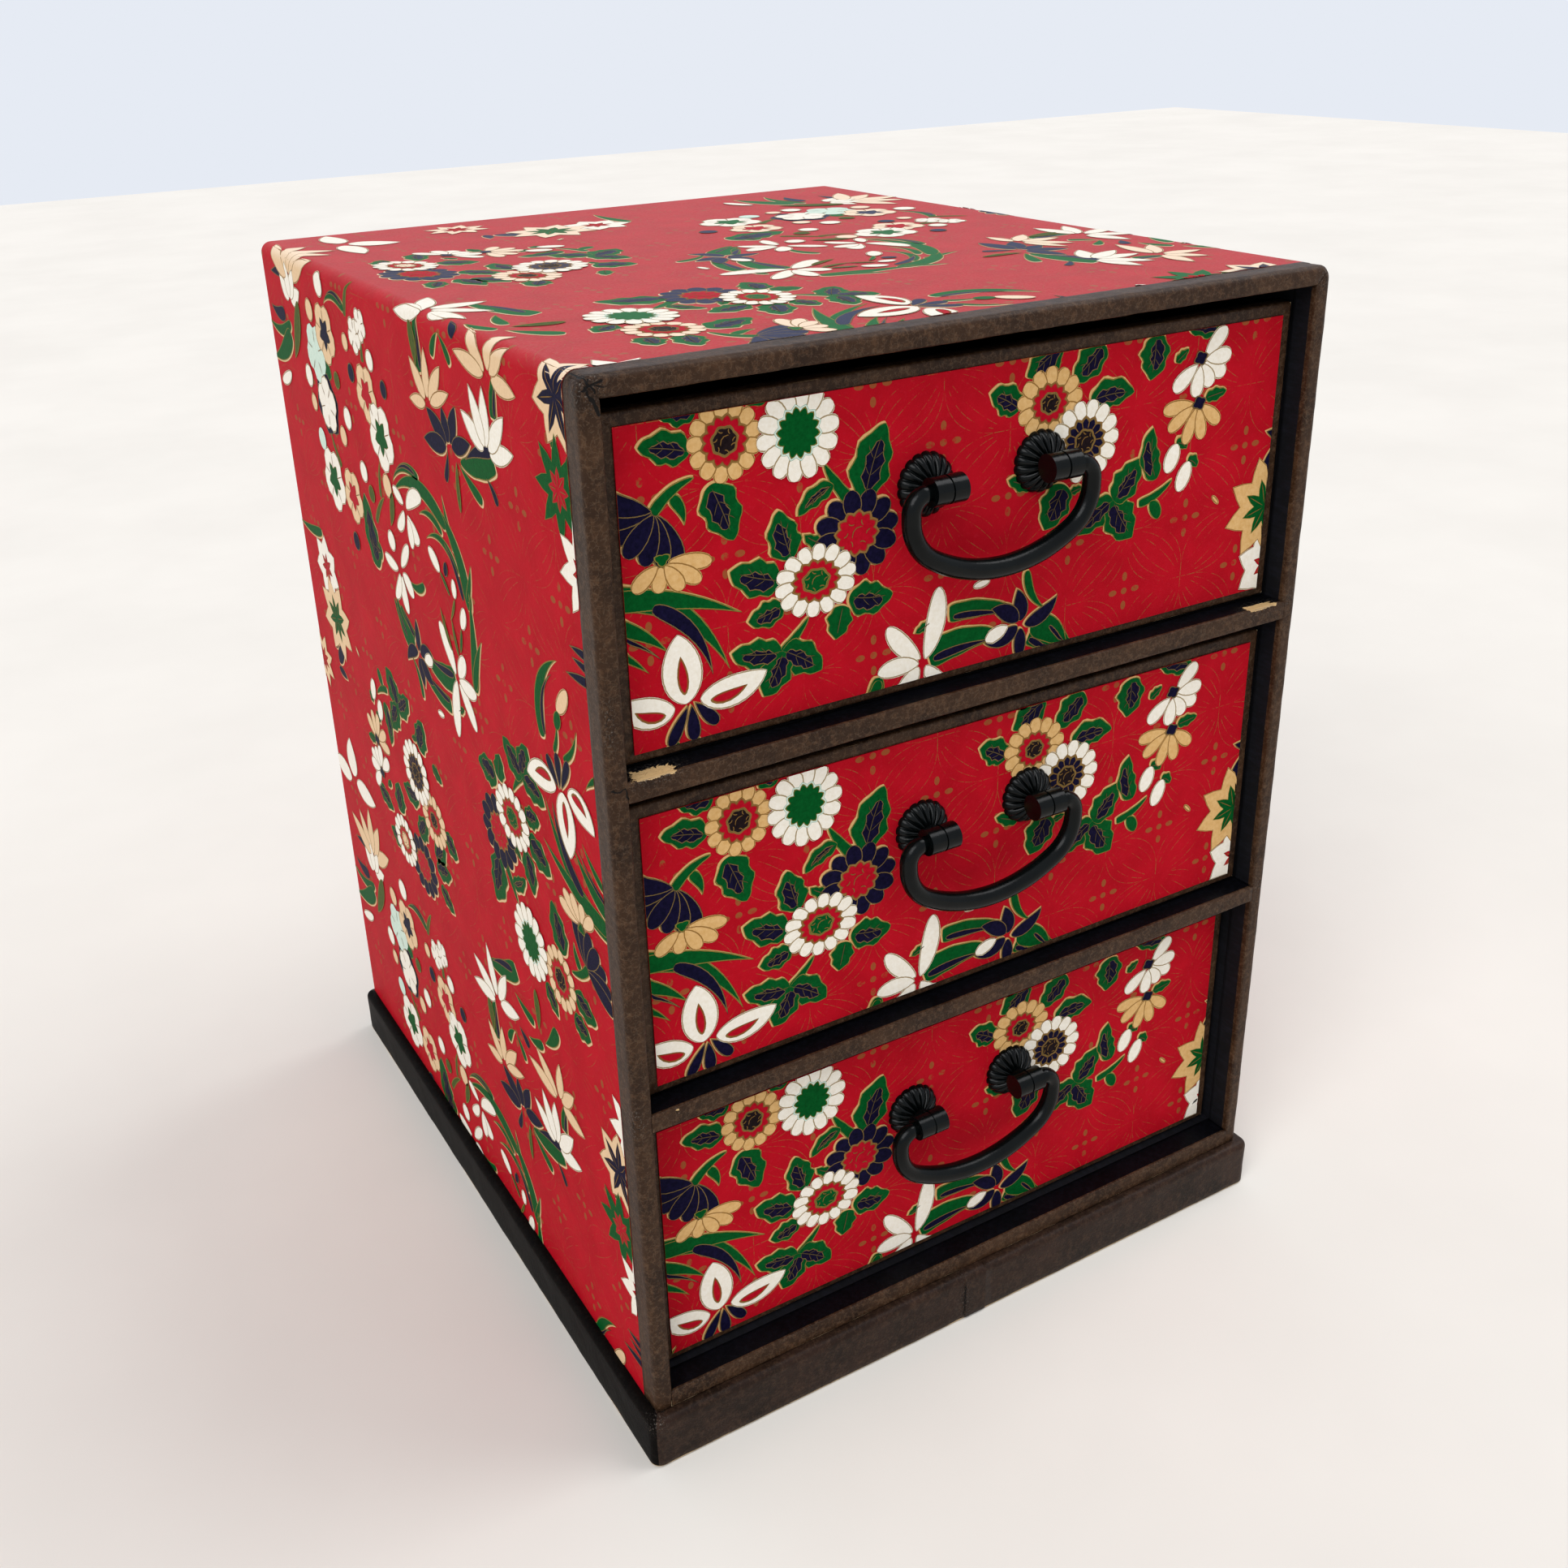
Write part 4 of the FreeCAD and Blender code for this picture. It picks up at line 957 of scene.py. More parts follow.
lay_fan(
    (84, 23.2), ((69.4, 22.2), (72, 15.6), (79.3, 10.2), (86.6, 10.8), (93.8, 15.2)), 5.2, "tan", SLIM_PETAL,
)
for place in ((83.6, 37), (84.4, 22.8)):
    lay_disc("navy", "core", place, (3.2, 2.6), 4, 0.3, 0.4)
lay_fan(
    (-107.5, 21.8),
    ((-100.8, 6.6), (-106, 6.3), (-111.5, 7.6), (-117, 11), (-121.5, 16), (-124.5, 22), (-126, 28)),
    6.4, "navy", FULL_PETAL, 0.05,
)
lay_fan(
    (-106.4, 8), ((-91.3, 5.4), (-94.8, 0.4), (-100.6, -1.0), (-108, -0.6), (-115.5, 1.2)), 5.2, "tan",
    FULL_PETAL,
)
lay_disc("green", "core", (-106.3, 8.6), (2.9, 2.2), 3, 0.4, 0.5)
lay_rimmed("green", "low", (-109, 20.5), (-95.5, 29.2), 3.6, 0.1, BAND)
lay_rimmed("green", "low", (-102.5, 25), (-99, 16.6), 3.8, 0.1, BLADE)
lay("white", "core", (72.5, 2), (76.3, 11), 6.4, 0.0, ROUND)
lay("white", "core", (78, -5), (82, 4.4), 6.2, 0.0, ROUND)
lay_leaf((76, 11), (80.5, 8.6), 4.6, 0.2, 0.0)
lay_leaf((81.5, 4.6), (85.5, 1.8), 4.4, 0.2, 0.0)
lay_rimmed("green", "low", (61.8, -6.2), (75.4, -0.4), 3.2, -0.08, BAND)
lay_rimmed("green", "low", (66.5, -6.5), (70.3, -12.6), 4.8, 0.1, ROUND)
lay_star((118, -17), 18, "tan", "green", 0.56, 8, 0.25, (0.36, 0.5))
lay_star((121.5, -37.5), 14, "white", "red", 0.45, 7, 0.1, (0.3, 0.5))
for start, end, width in (
    ((126, 7), (115.6, 8.8), 4.2), ((124, 4), (113.6, -6), 6.6), ((126, -2), (118, -11), 5.0),
):
    lay_rimmed("navy", "low", start, end, width, 0.05, SPEAR)
lay_star((148, 10), 13, "tan", "red", 0.5, 8, 0.3)

# Maple stars down the front edge of the side sheet
lay_star((-128, -107.5), 15, "white", "red", 0.42, 8, 0.2)
lay_star((-117, -127.5), 15, "green", "red", 0.42, 8, 0.0, (0.5, 0.4))
lay_star((-119.5, -152), 15, "tan", "navy", 0.78, 7, 0.2, (0.34, 0.62))
lay_star((-131, 70), 16, "white", "red", 0.4, 8, 0.1)
lay_rimmed("green", "low", (-115.5, -138), (-116.5, -144), 3.4, 0.0, BAND)

# Water lilies: pointed petals that spread downwards on the sheet
WATER_LILIES = (
    # base, tips, widths and ink
    ((-68.5, -125.5), ((-88.5, -130), (-83.5, -139.5), (-69.3, -145.3), (-59, -144.2), (-50.8, -135.2)),
     (6.6, 7.2, 7.2, 7.0, 6.8), "white"),
    ((-38, -121), ((-56, -126), (-46, -135), (-34.5, -132.8), (-21, -130), (-15.8, -119.5)),
     (6.2, 6.8, 6.6, 7.0, 6.8), "navy"),
    ((-23, -131), ((-6.4, -130), (-10.4, -143.5), (-24.4, -148.4), (-37.2, -145), (-42.6, -138)),
     (5.0, 6.4, 6.4, 6.4, 5.0), "tan"),
    ((-75, 92.5), ((-93.8, 94.2), (-87.5, 82), (-77, 75.4), (-57.2, 80.4), (-49.6, 89)), 6.2, "tan"),
    ((-24, 82.5), ((-0.4, 85), (-3, 73.4), (-18, 60.8), (-35, 65), (-44.4, 77)), 6.6, "white"),
    ((116, 92), ((93, 81), (103, 71), (114, 66.5), (128, 73), (141, 80)), 8.0, "tan"),
    ((118, -141), ((104, -147), (110, -154), (119, -156), (128, -150)), 7.0, "white"),
    ((129, 60), ((101, 60), (127, 39), (156, 58)), (10.0, 13.0, 10.0), "white"),
)
for base, tips, widths, ink in WATER_LILIES:
    lay_fan(base, tips, widths, ink)

# Buds and stems inside the wreath
for start, end, width, ink in (
    ((-35, -69.5), (-30.5, -61.5), 5.2, "white"),
    ((-27.6, -77), (-27, -70.4), 4.6, "white"),
    ((-22.6, -81), (-20.4, -76), 3.8, "navy"),
    ((-7, -81.5), (-16, -76), 5.8, "white"),
    ((-110.8, -69.5), (-102.5, -60.5), 5.8, "tan"),
    ((-103.5, -60.5), (-100.5, -54.5), 4.8, "green"),
    ((131, -113), (146, -107.5), 5.2, "white"),
    ((-30, -61), (-27, -52), 2.0, "green"),
    ((-27, -70), (-21, -61), 1.8, "olive"),
    ((-16, -76), (-23, -70), 2.0, "green"),
    ((-25, -50), (-22, -62), 2.4, "olive"),
    ((-19, -50), (-12, -63), 2.6, "olive"),
    ((-42, -102), (-43, -118), 3.2, "olive"),
    ((24, -92), (29.5, -79), 4.6, "olive"),
    ((-62, 55), (-62, 71), 4.6, "olive"),
    ((108, -143), (122, -120), 7.4, "olive"),
    ((-14, 86), (-16, 100), 5.6, "olive"),
):
    lay(ink, "core", start, end, width, 0.04, SPEAR if ink == "olive" else ROUND, 10)

# Plum blossoms with loose buds
for centre, radius, ink, inner in (
    ((28, -110), 12.2, "white", "green"),
    ((38.5, -122.5), 10.6, "tan", "red"),
    ((70, -79.5), 10.6, "tan", "red"),
    ((92, -80.5), 12.6, "white", "green"),
    ((93, -127), 11.0, "mint", None),
    ((78.5, -136), 11.4, "tan", "navy"),
    ((36, -145.5), 6.0, "white", None),
    ((43.5, -141), 6.6, "white", None),
):
    lay_plum(centre, radius, ink, inner)
lay_disc("navy", "under", (87, -109.5), (13, 12.4), 6, 0.15, 0.2)
lay_plum((86.5, -109.5), 10.6, "white", None, 0.9, OVERLAP_MM)
lay_disc("green", "under", (88, -124), (12, 8), 5, 0.2, 0.2)
lay_leaf((50, -58), (57, -84), 14, 0.04, 0.5)
lay_leaf((44, -66), (60, -68), 8, 0.1, 0.3)
for start, end, width in (
    ((46, -76), (33.5, -88), 3.0), ((37, -87), (34, -100), 2.6), ((80, -88), (88.5, -99), 3.0),
    ((38, -133), (37, -140), 3.0), ((52, -146), (44, -159), 3.2),
):
    lay("olive", "low", start, end, width, 0.06, BAND, 8)
PLUM_BUDS = (
    (31, -73.5, 3.8, "white"), (53, -92.5, 3.9, "white"), (28, -93.5, 4.3, "tan"), (72, -101, 3.8, "tan"),
    (64, -109, 4.2, "white"), (100.5, -94, 4.2, "mint"), (104, -107, 3.4, "tan"), (106, -116.5, 4.3, "white"),
    (30, -135, 3.7, "white"), (55, -137, 3.2, "tan"), (78.5, -153, 4.6, "white"), (94, -142, 4.2, "tan"),
    (19, -127.5, 3.2, "navy"), (52.5, -127, 3.4, "navy"), (74, -61.5, 3.6, "navy"),
    (71, -121, 3.2, "olive"), (47, -86, 3.2, "olive"),
)
for across, up, radius, ink in PLUM_BUDS:
    lay_disc(ink, "core", (across, up), radius, 0)


def places_of(piece):
    """The places of a piece's points, in mm."""
    places = np.empty(len(piece.data.vertices) * 3, np.float32)
    piece.data.vertices.foreach_get("co", places)
    return places.reshape(-1, 3) / MM


# The art of one repeat reaches about this far up and down from its middle
ART_UP_MM, ART_DOWN_MM = 90, 170
CELL_MARGIN = 0.08
HAIRS = 16


def print_sheet(name, body, lay_flat, place_on, low, high, shift=(0.0, 0.0), folds_mm=()):
    """Prints the art that falls in a window of the sheet onto a surface.

    The art repeats along the roll. Points outside the window are drawn back to its edge, and faces left with
    no area go. lay_flat turns places on the sheet into two lengths on the surface, place_on turns these into
    points and outward normals in mm, and the print is cut along the folds, which are values of the first
    length, so that it can bend there. Each shape has its own cell of the bake's map.
    """
    low, high = np.array(low) - shift, np.array(high) - shift
    shapes, total, cells = [], 0, 0
    repeats = range(
        math.floor((low[1] - ART_UP_MM) / ROLL_REPEAT_MM),
        math.ceil((high[1] + ART_DOWN_MM) / ROLL_REPEAT_MM) + 1,
    )
    for repeat in repeats:
        for order, (ink, lift, points, edge) in enumerate(sheet_art):
            moved = points + np.array([0, repeat * ROLL_REPEAT_MM])
            inside = (moved.max((1, 2)) > low).all(1) & (moved.min((1, 2)) < high).all(1)
            moved = np.clip(moved[inside], low, high)
            count, steps, rows = moved.shape[:3]
            if not count:
                continue
            corner = np.arange(count * steps * rows).reshape(count, steps, rows)
            faces = np.stack(
                [corner[:, :-1, :-1], corner[:, :-1, 1:], corner[:, 1:, 1:], corner[:, 1:, :-1]], -1
            ).reshape(-1, 4)
            flat = moved.reshape(-1, 2)
            one, two = flat[faces[:, 2]] - flat[faces[:, 0]], flat[faces[:, 3]] - flat[faces[:, 1]]
            faces = faces[np.abs(one[:, 0] * two[:, 1] - one[:, 1] * two[:, 0]) > 1e-3]
            lifts = lift + HAIR_MM * ((3 * np.arange(count) + 5 * order) % HAIRS)
            cell = np.broadcast_to(cells + np.arange(count)[:, None, None], (count, steps, rows))
            down, along = np.meshgrid(np.linspace(0, 1, steps), np.linspace(0, 1, rows), indexing="ij")
            used, faces = np.unique(faces, return_inverse=True)
            shapes.append((
                flat[used] + shift, faces.reshape(-1, 4) + total, np.full(len(faces.reshape(-1, 4)), ink),
                edge[inside].reshape(-1)[used], np.repeat(lifts, steps * rows)[used], cell.reshape(-1)[used],
                np.tile(down.ravel(), count)[used], np.tile(along.ravel(), count)[used],
            ))
            total += len(used)
            cells += count
    flat, quads, inks, edges, lifts, cell, down, along = (np.concatenate(part) for part in zip(*shapes))
    piece = mesh_object(name, np.column_stack([lay_flat(flat), lifts]), quads, ink_materials, inks)
    mark_points(piece, "edge_mm", edges)
    side = math.ceil(math.sqrt(cells))
    in_cell = CELL_MARGIN + (1 - 2 * CELL_MARGIN) * np.stack([down, along], 1)
    places = (np.stack([cell % side, cell // side], 1) + in_cell) / side
    bake_map = piece.data.uv_layers.new(name="OFBake")
    bake_map.data.foreach_set("uv", places[quads.ravel()].astype(np.float32).ravel())
    cut = bmesh.new()
    cut.from_mesh(piece.data)
    for fold in folds_mm:
        everything = cut.verts[:] + cut.edges[:] + cut.faces[:]
        bmesh.ops.bisect_plane(
            cut, geom=everything, dist=1e-8, plane_co=(fold * MM, 0, 0), plane_no=(1, 0, 0),
        )
    cut.to_mesh(piece.data)
    cut.free()
    laid = places_of(piece)
    points, normals = place_on(laid[:, :2])
    piece.data.vertices.foreach_set("co", ((points + normals * laid[:, 2:]) * MM).astype(np.float32).ravel())
    piece.data.update()
    # Inks are marked to be paled: a painted sheen on the top and painted light on the sides, none on the
    # front and back
    painted_light = np.where(
        np.abs(normals[:, 1]) > 0.5, 0.0, SIDE_PAINTED_LIGHT + (1 - SIDE_PAINTED_LIGHT) * np.clip(normals[:, 2], 0, 1),
    )
    mark_points(piece, "painted_light", painted_light)
    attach(piece, body)


for which in DRAWERS:
    low, high = box_mm(f"{which}_drawer_front_washi")
    centre, half = (low + high) / 2, (high - low) / 2

    def on_front(flat, face=low[1], centre=centre):
        """Across runs along +X and up along +Z on the panel's face."""
        points = np.stack([centre[0] + flat[:, 0], np.full(len(flat), face), centre[2] + flat[:, 1]], 1)
        return points, np.broadcast_to([0.0, -1.0, 0.0], points.shape)

    print_sheet(
        f"{which}_front_flowers", f"{which}_drawer", np.array, on_front, -half[::2], half[::2],
        DRAWER_SHIFT_MM[which],
    )


def on_back(flat):
    """Across runs along -X and up along +Z on the back sheet."""
    points = np.stack(
        [-flat[:, 0], np.full(len(flat), back_high[1]), (back_low[2] + back_high[2]) / 2 + flat[:, 1]], 1,
    )
    return points, np.broadcast_to([0.0, 1.0, 0.0], points.shape)


back_half = (back_high - back_low)[::2] / 2
print_sheet("back_flowers", "cabinet", np.array, on_back, -back_half, back_half)


def lay_on_roll(flat):
    """Turns places on the sheet into a run and a depth on the cabinet, stretched and crept like the paper."""
    run = SHEET_START_MM[1] - STRETCH_UP * flat[:, 1]
    crept_depth, crept_run = slipped(run, flat[:, 0])
    depth = SHEET_START_MM[0] + STRETCH_ACROSS * flat[:, 0] + crept_depth
    return np.stack([np.clip(run + crept_run, *run_limits), np.clip(depth, wrap_low[1], wrap_high[1])], 1)


# The print has crept, so its window runs on past the rear edge
CREPT_MM = 20
across_limits = [(y - SHEET_START_MM[0]) / STRETCH_ACROSS for y in (wrap_low[1], wrap_high[1] + CREPT_MM)]
PARTS_OF_ROLL = (
    ("left_side_flowers", wrap_low[2], SIDE_RUN + 2 * ARC_RUN / 3),
    ("top_flowers", SIDE_RUN + 2 * ARC_RUN / 3, WHOLE_RUN - SIDE_RUN + wrap_low[2] - 2 * ARC_RUN / 3),
    ("right_side_flowers", WHOLE_RUN - SIDE_RUN + wrap_low[2] - 2 * ARC_RUN / 3, WHOLE_RUN),
)
for name, *run_limits in PARTS_OF_ROLL:
    ups = [(SHEET_START_MM[1] - run + slipped(run, 0.0)[1]) / STRETCH_UP for run in reversed(run_limits)]
    folds = np.concatenate([SIDE_RUN + arc_steps, SIDE_RUN + ARC_RUN + TOP_RUN + arc_steps])
    folds = folds[(folds > run_limits[0]) & (folds < run_limits[1])]
    print_sheet(
        name, "cabinet", lay_on_roll, lambda laid: on_cabinet(laid[:, 0], laid[:, 1]),
        (across_limits[0], ups[0]), (across_limits[1], ups[1]), folds_mm=folds,
    )


# Dark papers: brown-black kozo paper, creased by hand before it was pasted over every edge and the plinth.
# The ridges of its creases are rubbed paler, its arrises are soft, and it laps 9 mm onto the red paper.
DEPTH_WEIGHT = 0.02


def near_strokes(nodes, place, strokes_mm):
    """How near a place is to the nearest of some straight strokes, over that stroke's half width.

    Each stroke is x, z, x, z and half its width, on the front of the frame. The nearest spot of a stroke is
    at the share dot(place - start, run) / dot(run, run) of the way along it, kept between 0 and 1. Depth
    counts for little, so that a stroke runs over the arris.
    """
    known = {"least": 9.0}
    flat = add_node(
        nodes, "ShaderNodeVectorMath", {0: place, 1: (1.0, DEPTH_WEIGHT, 1.0)}, operation="MULTIPLY",
    )
    for x, z, end_x, end_z, half_mm in strokes_mm:
        start = (x * MM, DEPTH_WEIGHT * FRONT_Y * MM, z * MM)
        run = ((end_x - x) * MM, 0.0, (end_z - z) * MM)
        away = add_node(nodes, "ShaderNodeVectorMath", {0: (flat, 0), 1: start}, operation="SUBTRACT")
        along = add_node(nodes, "ShaderNodeVectorMath", {0: (away, 0), 1: run}, operation="DOT_PRODUCT")
        known["share"], known["half"] = (along, "Value"), half_mm * MM
        work_out(nodes, known, (
            ("share", "DIVIDE", "share", run[0] ** 2 + run[2] ** 2), ("share", "MINIMUM", "share", 1.0),
            ("share", "MAXIMUM", "share", 0.0),
        ))
        share = add_node(nodes, "ShaderNodeCombineXYZ", {axis: known["share"] for axis in "XYZ"})
        spot = add_node(
            nodes, "ShaderNodeVectorMath", {0: (share, 0), 1: run, 2: start}, operation="MULTIPLY_ADD",
        )
        gap = add_node(nodes, "ShaderNodeVectorMath", {0: (flat, 0), 1: (spot, 0)}, operation="DISTANCE")
        known["gap"] = (gap, "Value")
        work_out(nodes, known, (("gap", "DIVIDE", "gap", "half"), ("least", "MINIMUM", "least", "gap")))
    return known["least"]


def creased_paper(name, shades, rub, fibre, strokes_mm=(), gloss=0.13):
    """Creased paper in two browns, rubbed paler on its ridges, with curly fibres, and board where torn."""
    material, nodes, object_place = start_material(name)
    slow, _ = mottled(nodes, object_place, 8, shades, (0.3, 0.7))
    colour, crumple = mottled(nodes, object_place, 1.1, (slow, rub), (0.48, 0.95), 0.78)
    bends = noise_at(nodes, object_place, 0.9, 1.0)
    moves = add_node(nodes, "ShaderNodeVectorMath", {0: (bends, 1), 1: (0.5,) * 3}, operation="SUBTRACT")
    bent_place = add_node(
        nodes, "ShaderNodeVectorMath", {0: (moves, 0), 1: (2.0 * MM,) * 3, 2: object_place},
        operation="MULTIPLY_ADD"
    )
    cracks, hairs = (
        add_node(
            nodes, "ShaderNodeTexVoronoi", {"Vector": (bent_place, 0), "Scale": 1 / (cell * MM)},
            feature="DISTANCE_TO_EDGE"
        ) for cell in (2.6, 1.7)
    )
    known = {
        "crumple": crumple, "fine": (noise_at(nodes, object_place, 0.35, 3.0, 0.7), 0), "crack": (cracks, 0),
        "hair": (hairs, 0), "torn": mark_at(nodes, "torn"), "worn": mark_at(nodes, "worn"),
        "stroke": near_strokes(nodes, (bent_place, 0), strokes_mm),
    }
    work_out(nodes, known, (
        ("crack", "DIVIDE", "crack", 0.1), ("crack", "MINIMUM", "crack", 1.0),
        ("some", "SUBTRACT", "crumple", 0.42), ("some", "MULTIPLY", "some", 8.0),
        ("some", "MINIMUM", "some", 1.0),
        ("some", "MAXIMUM", "some", 0.0), ("some", "MULTIPLY", "some", "worn"),
        # Cracks and strokes are drawn near-black: painted shade in the gaps
        ("shaded_gaps", "SUBTRACT", 1.0, "crack"), ("shaded_gaps", "MULTIPLY", "shaded_gaps", "some"),
        ("stroke", "SUBTRACT", 1.0, "stroke"), ("stroke", "MULTIPLY", "stroke", 3.0),
        ("shaded_gaps", "MAXIMUM", "shaded_gaps", "stroke"), ("shaded_gaps", "MINIMUM", "shaded_gaps", 1.0),
        # Grey patches at worn spots: partly rubbed wear, partly a painted sheen
        ("scuff_and_sheen", "SUBTRACT", "fine", 0.56), ("scuff_and_sheen", "MULTIPLY", "scuff_and_sheen", 6.0),
        ("scuff_and_sheen", "MULTIPLY", "scuff_and_sheen", "worn"),
        ("scuff_and_sheen", "MAXIMUM", "scuff_and_sheen", 0.0), ("scuff_and_sheen", "MINIMUM", "scuff_and_sheen", 0.8),
        ("hair", "DIVIDE", "hair", 0.08), ("hair", "SUBTRACT", 1.0, "hair"), ("hair", "MAXIMUM", "hair", 0.0),
        ("kept", "SUBTRACT", "crumple", 0.44), ("kept", "MULTIPLY", "kept", 5.0),
        ("kept", "MAXIMUM", "kept", 0.0),
        ("kept", "MINIMUM", "kept", 0.1), ("hair", "MULTIPLY", "hair", "kept"),
        ("fine", "MULTIPLY", "fine", 0.4), ("height", "ADD", "crumple", "fine"),
        ("height", "SUBTRACT", "height", "shaded_gaps"),
        ("ragged", "SUBTRACT", "crumple", 0.5), ("ragged", "MULTIPLY", "ragged", 1.1),
        ("ragged", "ADD", "ragged", "torn"), ("ragged", "GREATER_THAN", "ragged", 0.5),
    ))
    for share, shade in (("hair", fibre), ("scuff_and_sheen", "#7b746c"), ("shaded_gaps", "#0b0705"), ("ragged", "#cbab79")):
        colour = mixed(nodes, known[share], colour, hex_colour(shade))
    relief = raised(nodes, known["height"], 0.16)
    finish_material(nodes, Base_Color=colour, Roughness=0.46, Specular_IOR_Level=gloss, Normal=relief)
    return material


left_low, left_high = box_mm("left_edge_binding")
FRONT_Y, BINDING_BACK_Y = left_low[1], left_high[1]
CORNER_BURST = (-126.4, 359.8)
# Splits at the top left corner and lower down the left bar, drawn near-black as painted shade
SPLITS_MM = (
    # x, z, x, z and half the width of each
    (-127.4, 358.4, -125.9, 355.3, 0.5), (-125.9, 355.3, -124.7, 352.6, 0.65),
    (*CORNER_BURST, -128.4, 361.9, 0.36), (*CORNER_BURST, -126.9, 361.4, 0.3),
    (*CORNER_BURST, -123.4, 360.3, 0.34),
    (*CORNER_BURST, -128.6, 358.4, 0.38), (*CORNER_BURST, -123.2, 358.6, 0.28),
    (*CORNER_BURST, -125.6, 357.4, 0.3),
    (-129.0, 249.6, -127.3, 248.5, 0.26), (-127.3, 248.5, -125.3, 249.1, 0.26),
    (-125.3, 249.1, -124.1, 245.5, 0.34),
)
dark_paper = creased_paper(
    "brown_creased_kozo_paper", ("#23150c", "#3f2a1a"), "#664a34", "#9a8671", SPLITS_MM,
)
rng = np.random.default_rng(11)
crumple_heights = rng.random((64, 64))


def crumpled(along_mm, across_mm, cell_mm):
    """Smooth random heights from -1 to 1: values on a square net, blended by 3*t*t - 2*t*t*t."""
    along, across = along_mm / cell_mm, across_mm / cell_mm
    low_along, low_across = np.floor(along).astype(int), np.floor(across).astype(int)
    t, u = along - low_along, across - low_across
    t, u = t * t * (3 - 2 * t), u * u * (3 - 2 * u)
    knots = [crumple_heights[(low_along + i) % 64, (low_across + j) % 64] for i in (0, 1) for j in (0, 1)]
    near, far = knots[0] * (1 - u) + knots[1] * u, knots[2] * (1 - u) + knots[3] * u
    return 2 * (near * (1 - t) + far * t) - 1


def creases(along_mm, round_mm):
    """Hand-made creases 9 and 3.5 mm apart, the finer ones half as deep."""
    return 0.6 * crumpled(along_mm, round_mm, 9.0) + 0.4 * crumpled(along_mm + 31, round_mm + 7, 3.5)


def closed_surface(name, points, materials, slots=None, ring_closed=False):
    """A closed skin: each row of points is a closed section, and the rows follow a path.

    Both ends are capped unless the path closes. Doubled points merge, so that sections may shrink to a point.
    """
    rows, columns = points.shape[:2]
    corner = np.arange(rows * columns).reshape(rows, columns)
    corner = np.concatenate([corner, corner[:, :1]], 1)
    if ring_closed:
        corner = np.concatenate([corner, corner[:1]])
    if slots is not None:
        slots = np.broadcast_to(slots, (len(corner) - 1, columns)).ravel()
    piece = mesh_object(name, points.reshape(-1, 3), net_quads(corner), materials, slots)
    shell = bmesh.new()
    shell.from_mesh(piece.data)
    bmesh.ops.remove_doubles(shell, verts=shell.verts, dist=1e-7)
    bmesh.ops.holes_fill(shell, edges=shell.edges, sides=0)
    bmesh.ops.triangulate(shell, faces=[face for face in shell.faces if len(face.verts) > 4])
    bmesh.ops.recalc_face_normals(shell, faces=shell.faces)
    shell.to_mesh(piece.data)
    shell.free()
    return piece


def set_spots(piece, mark, centres_mm, radii_mm, power):
    """Marks spots: 1 in the middle of each, falling evenly to 0 past its radii. A high power squares them."""
    places = places_of(piece)
    marked = np.zeros(len(places), np.float32)
    for centre, radii in zip(centres_mm, radii_mm):
        away = (np.abs((places - np.array(centre)) / np.array(radii)) ** power).sum(1) ** (1 / power)
        marked = np.maximum(marked, np.clip(1.25 - away, 0, 1))
    mark_points(piece, mark, marked)


def bar_section(width, depth, outer_round, inner_round):
    """Half of a section: from the inner back corner round the front to the outer back corner.

    Gives the distance from the inner face and the distance back from the front, in mm, and the direction that
    each point looks in. Both front arrises are quarter circles.
    """
    quarter = np.linspace(0, np.pi / 2, 6)
    inner_arc = np.stack([inner_round * (1 - np.cos(quarter)), inner_round * (1 - np.sin(quarter))], 1)
    outer_arc = np.stack(
        [width - outer_round * (1 - np.sin(quarter)), outer_round * (1 - np.cos(quarter))], 1,
    )
    inner_face = np.stack([np.zeros(6), np.linspace(depth, inner_round, 7)[:-1]], 1)
    front = np.stack([np.linspace(inner_round, width - outer_round, 8)[1:-1], np.zeros(6)], 1)
    outer_face = np.stack([np.full(7, width), np.linspace(outer_round, depth, 8)[1:]], 1)
    looks = np.concatenate([
        np.tile([-1.0, 0.0], (6, 1)), -ways_at(quarter),
        np.tile([0.0, -1.0], (6, 1)), np.stack([np.sin(quarter), -np.cos(quarter)], 1),
        np.tile([1.0, 0.0], (7, 1)),
    ])
    return np.concatenate([inner_face, inner_arc, front, outer_arc, outer_face]), looks


def walked_along(line):
    """How far each point of a line lies along it."""
    return np.concatenate([[0], np.cumsum(np.hypot(*np.diff(line, axis=0).T))])


BINDING_ROUND_MM = (2.2, 0.9)
CREASE_MM = 0.16
MITRE_SINK_MM, MITRE_REACH_MM = 0.2, 4
NAVY_FACES = 5
WORN_SPOTS_MM = (
    (-127, -147, 359), (129, -146, 358), (-128, -147, 268),
    (129, -146, 251), (-129, -146, 137), (128, -146, 138),
)
WORN_RADII_MM = ((6, 6, 6), (6, 6, 5), (2, 3, 9), (5, 9, 6), (4, 9, 6), (4, 9, 5))
frame_low, frame_high = wrap_low[[0, 2]], wrap_high[[0, 2]]
BOARD_MM = left_high[0] - left_low[0]
OPENING_TOP = box_mm("top_edge_binding")[0][2]
section, looks = bar_section(BOARD_MM, BINDING_BACK_Y - FRONT_Y, *BINDING_ROUND_MM)


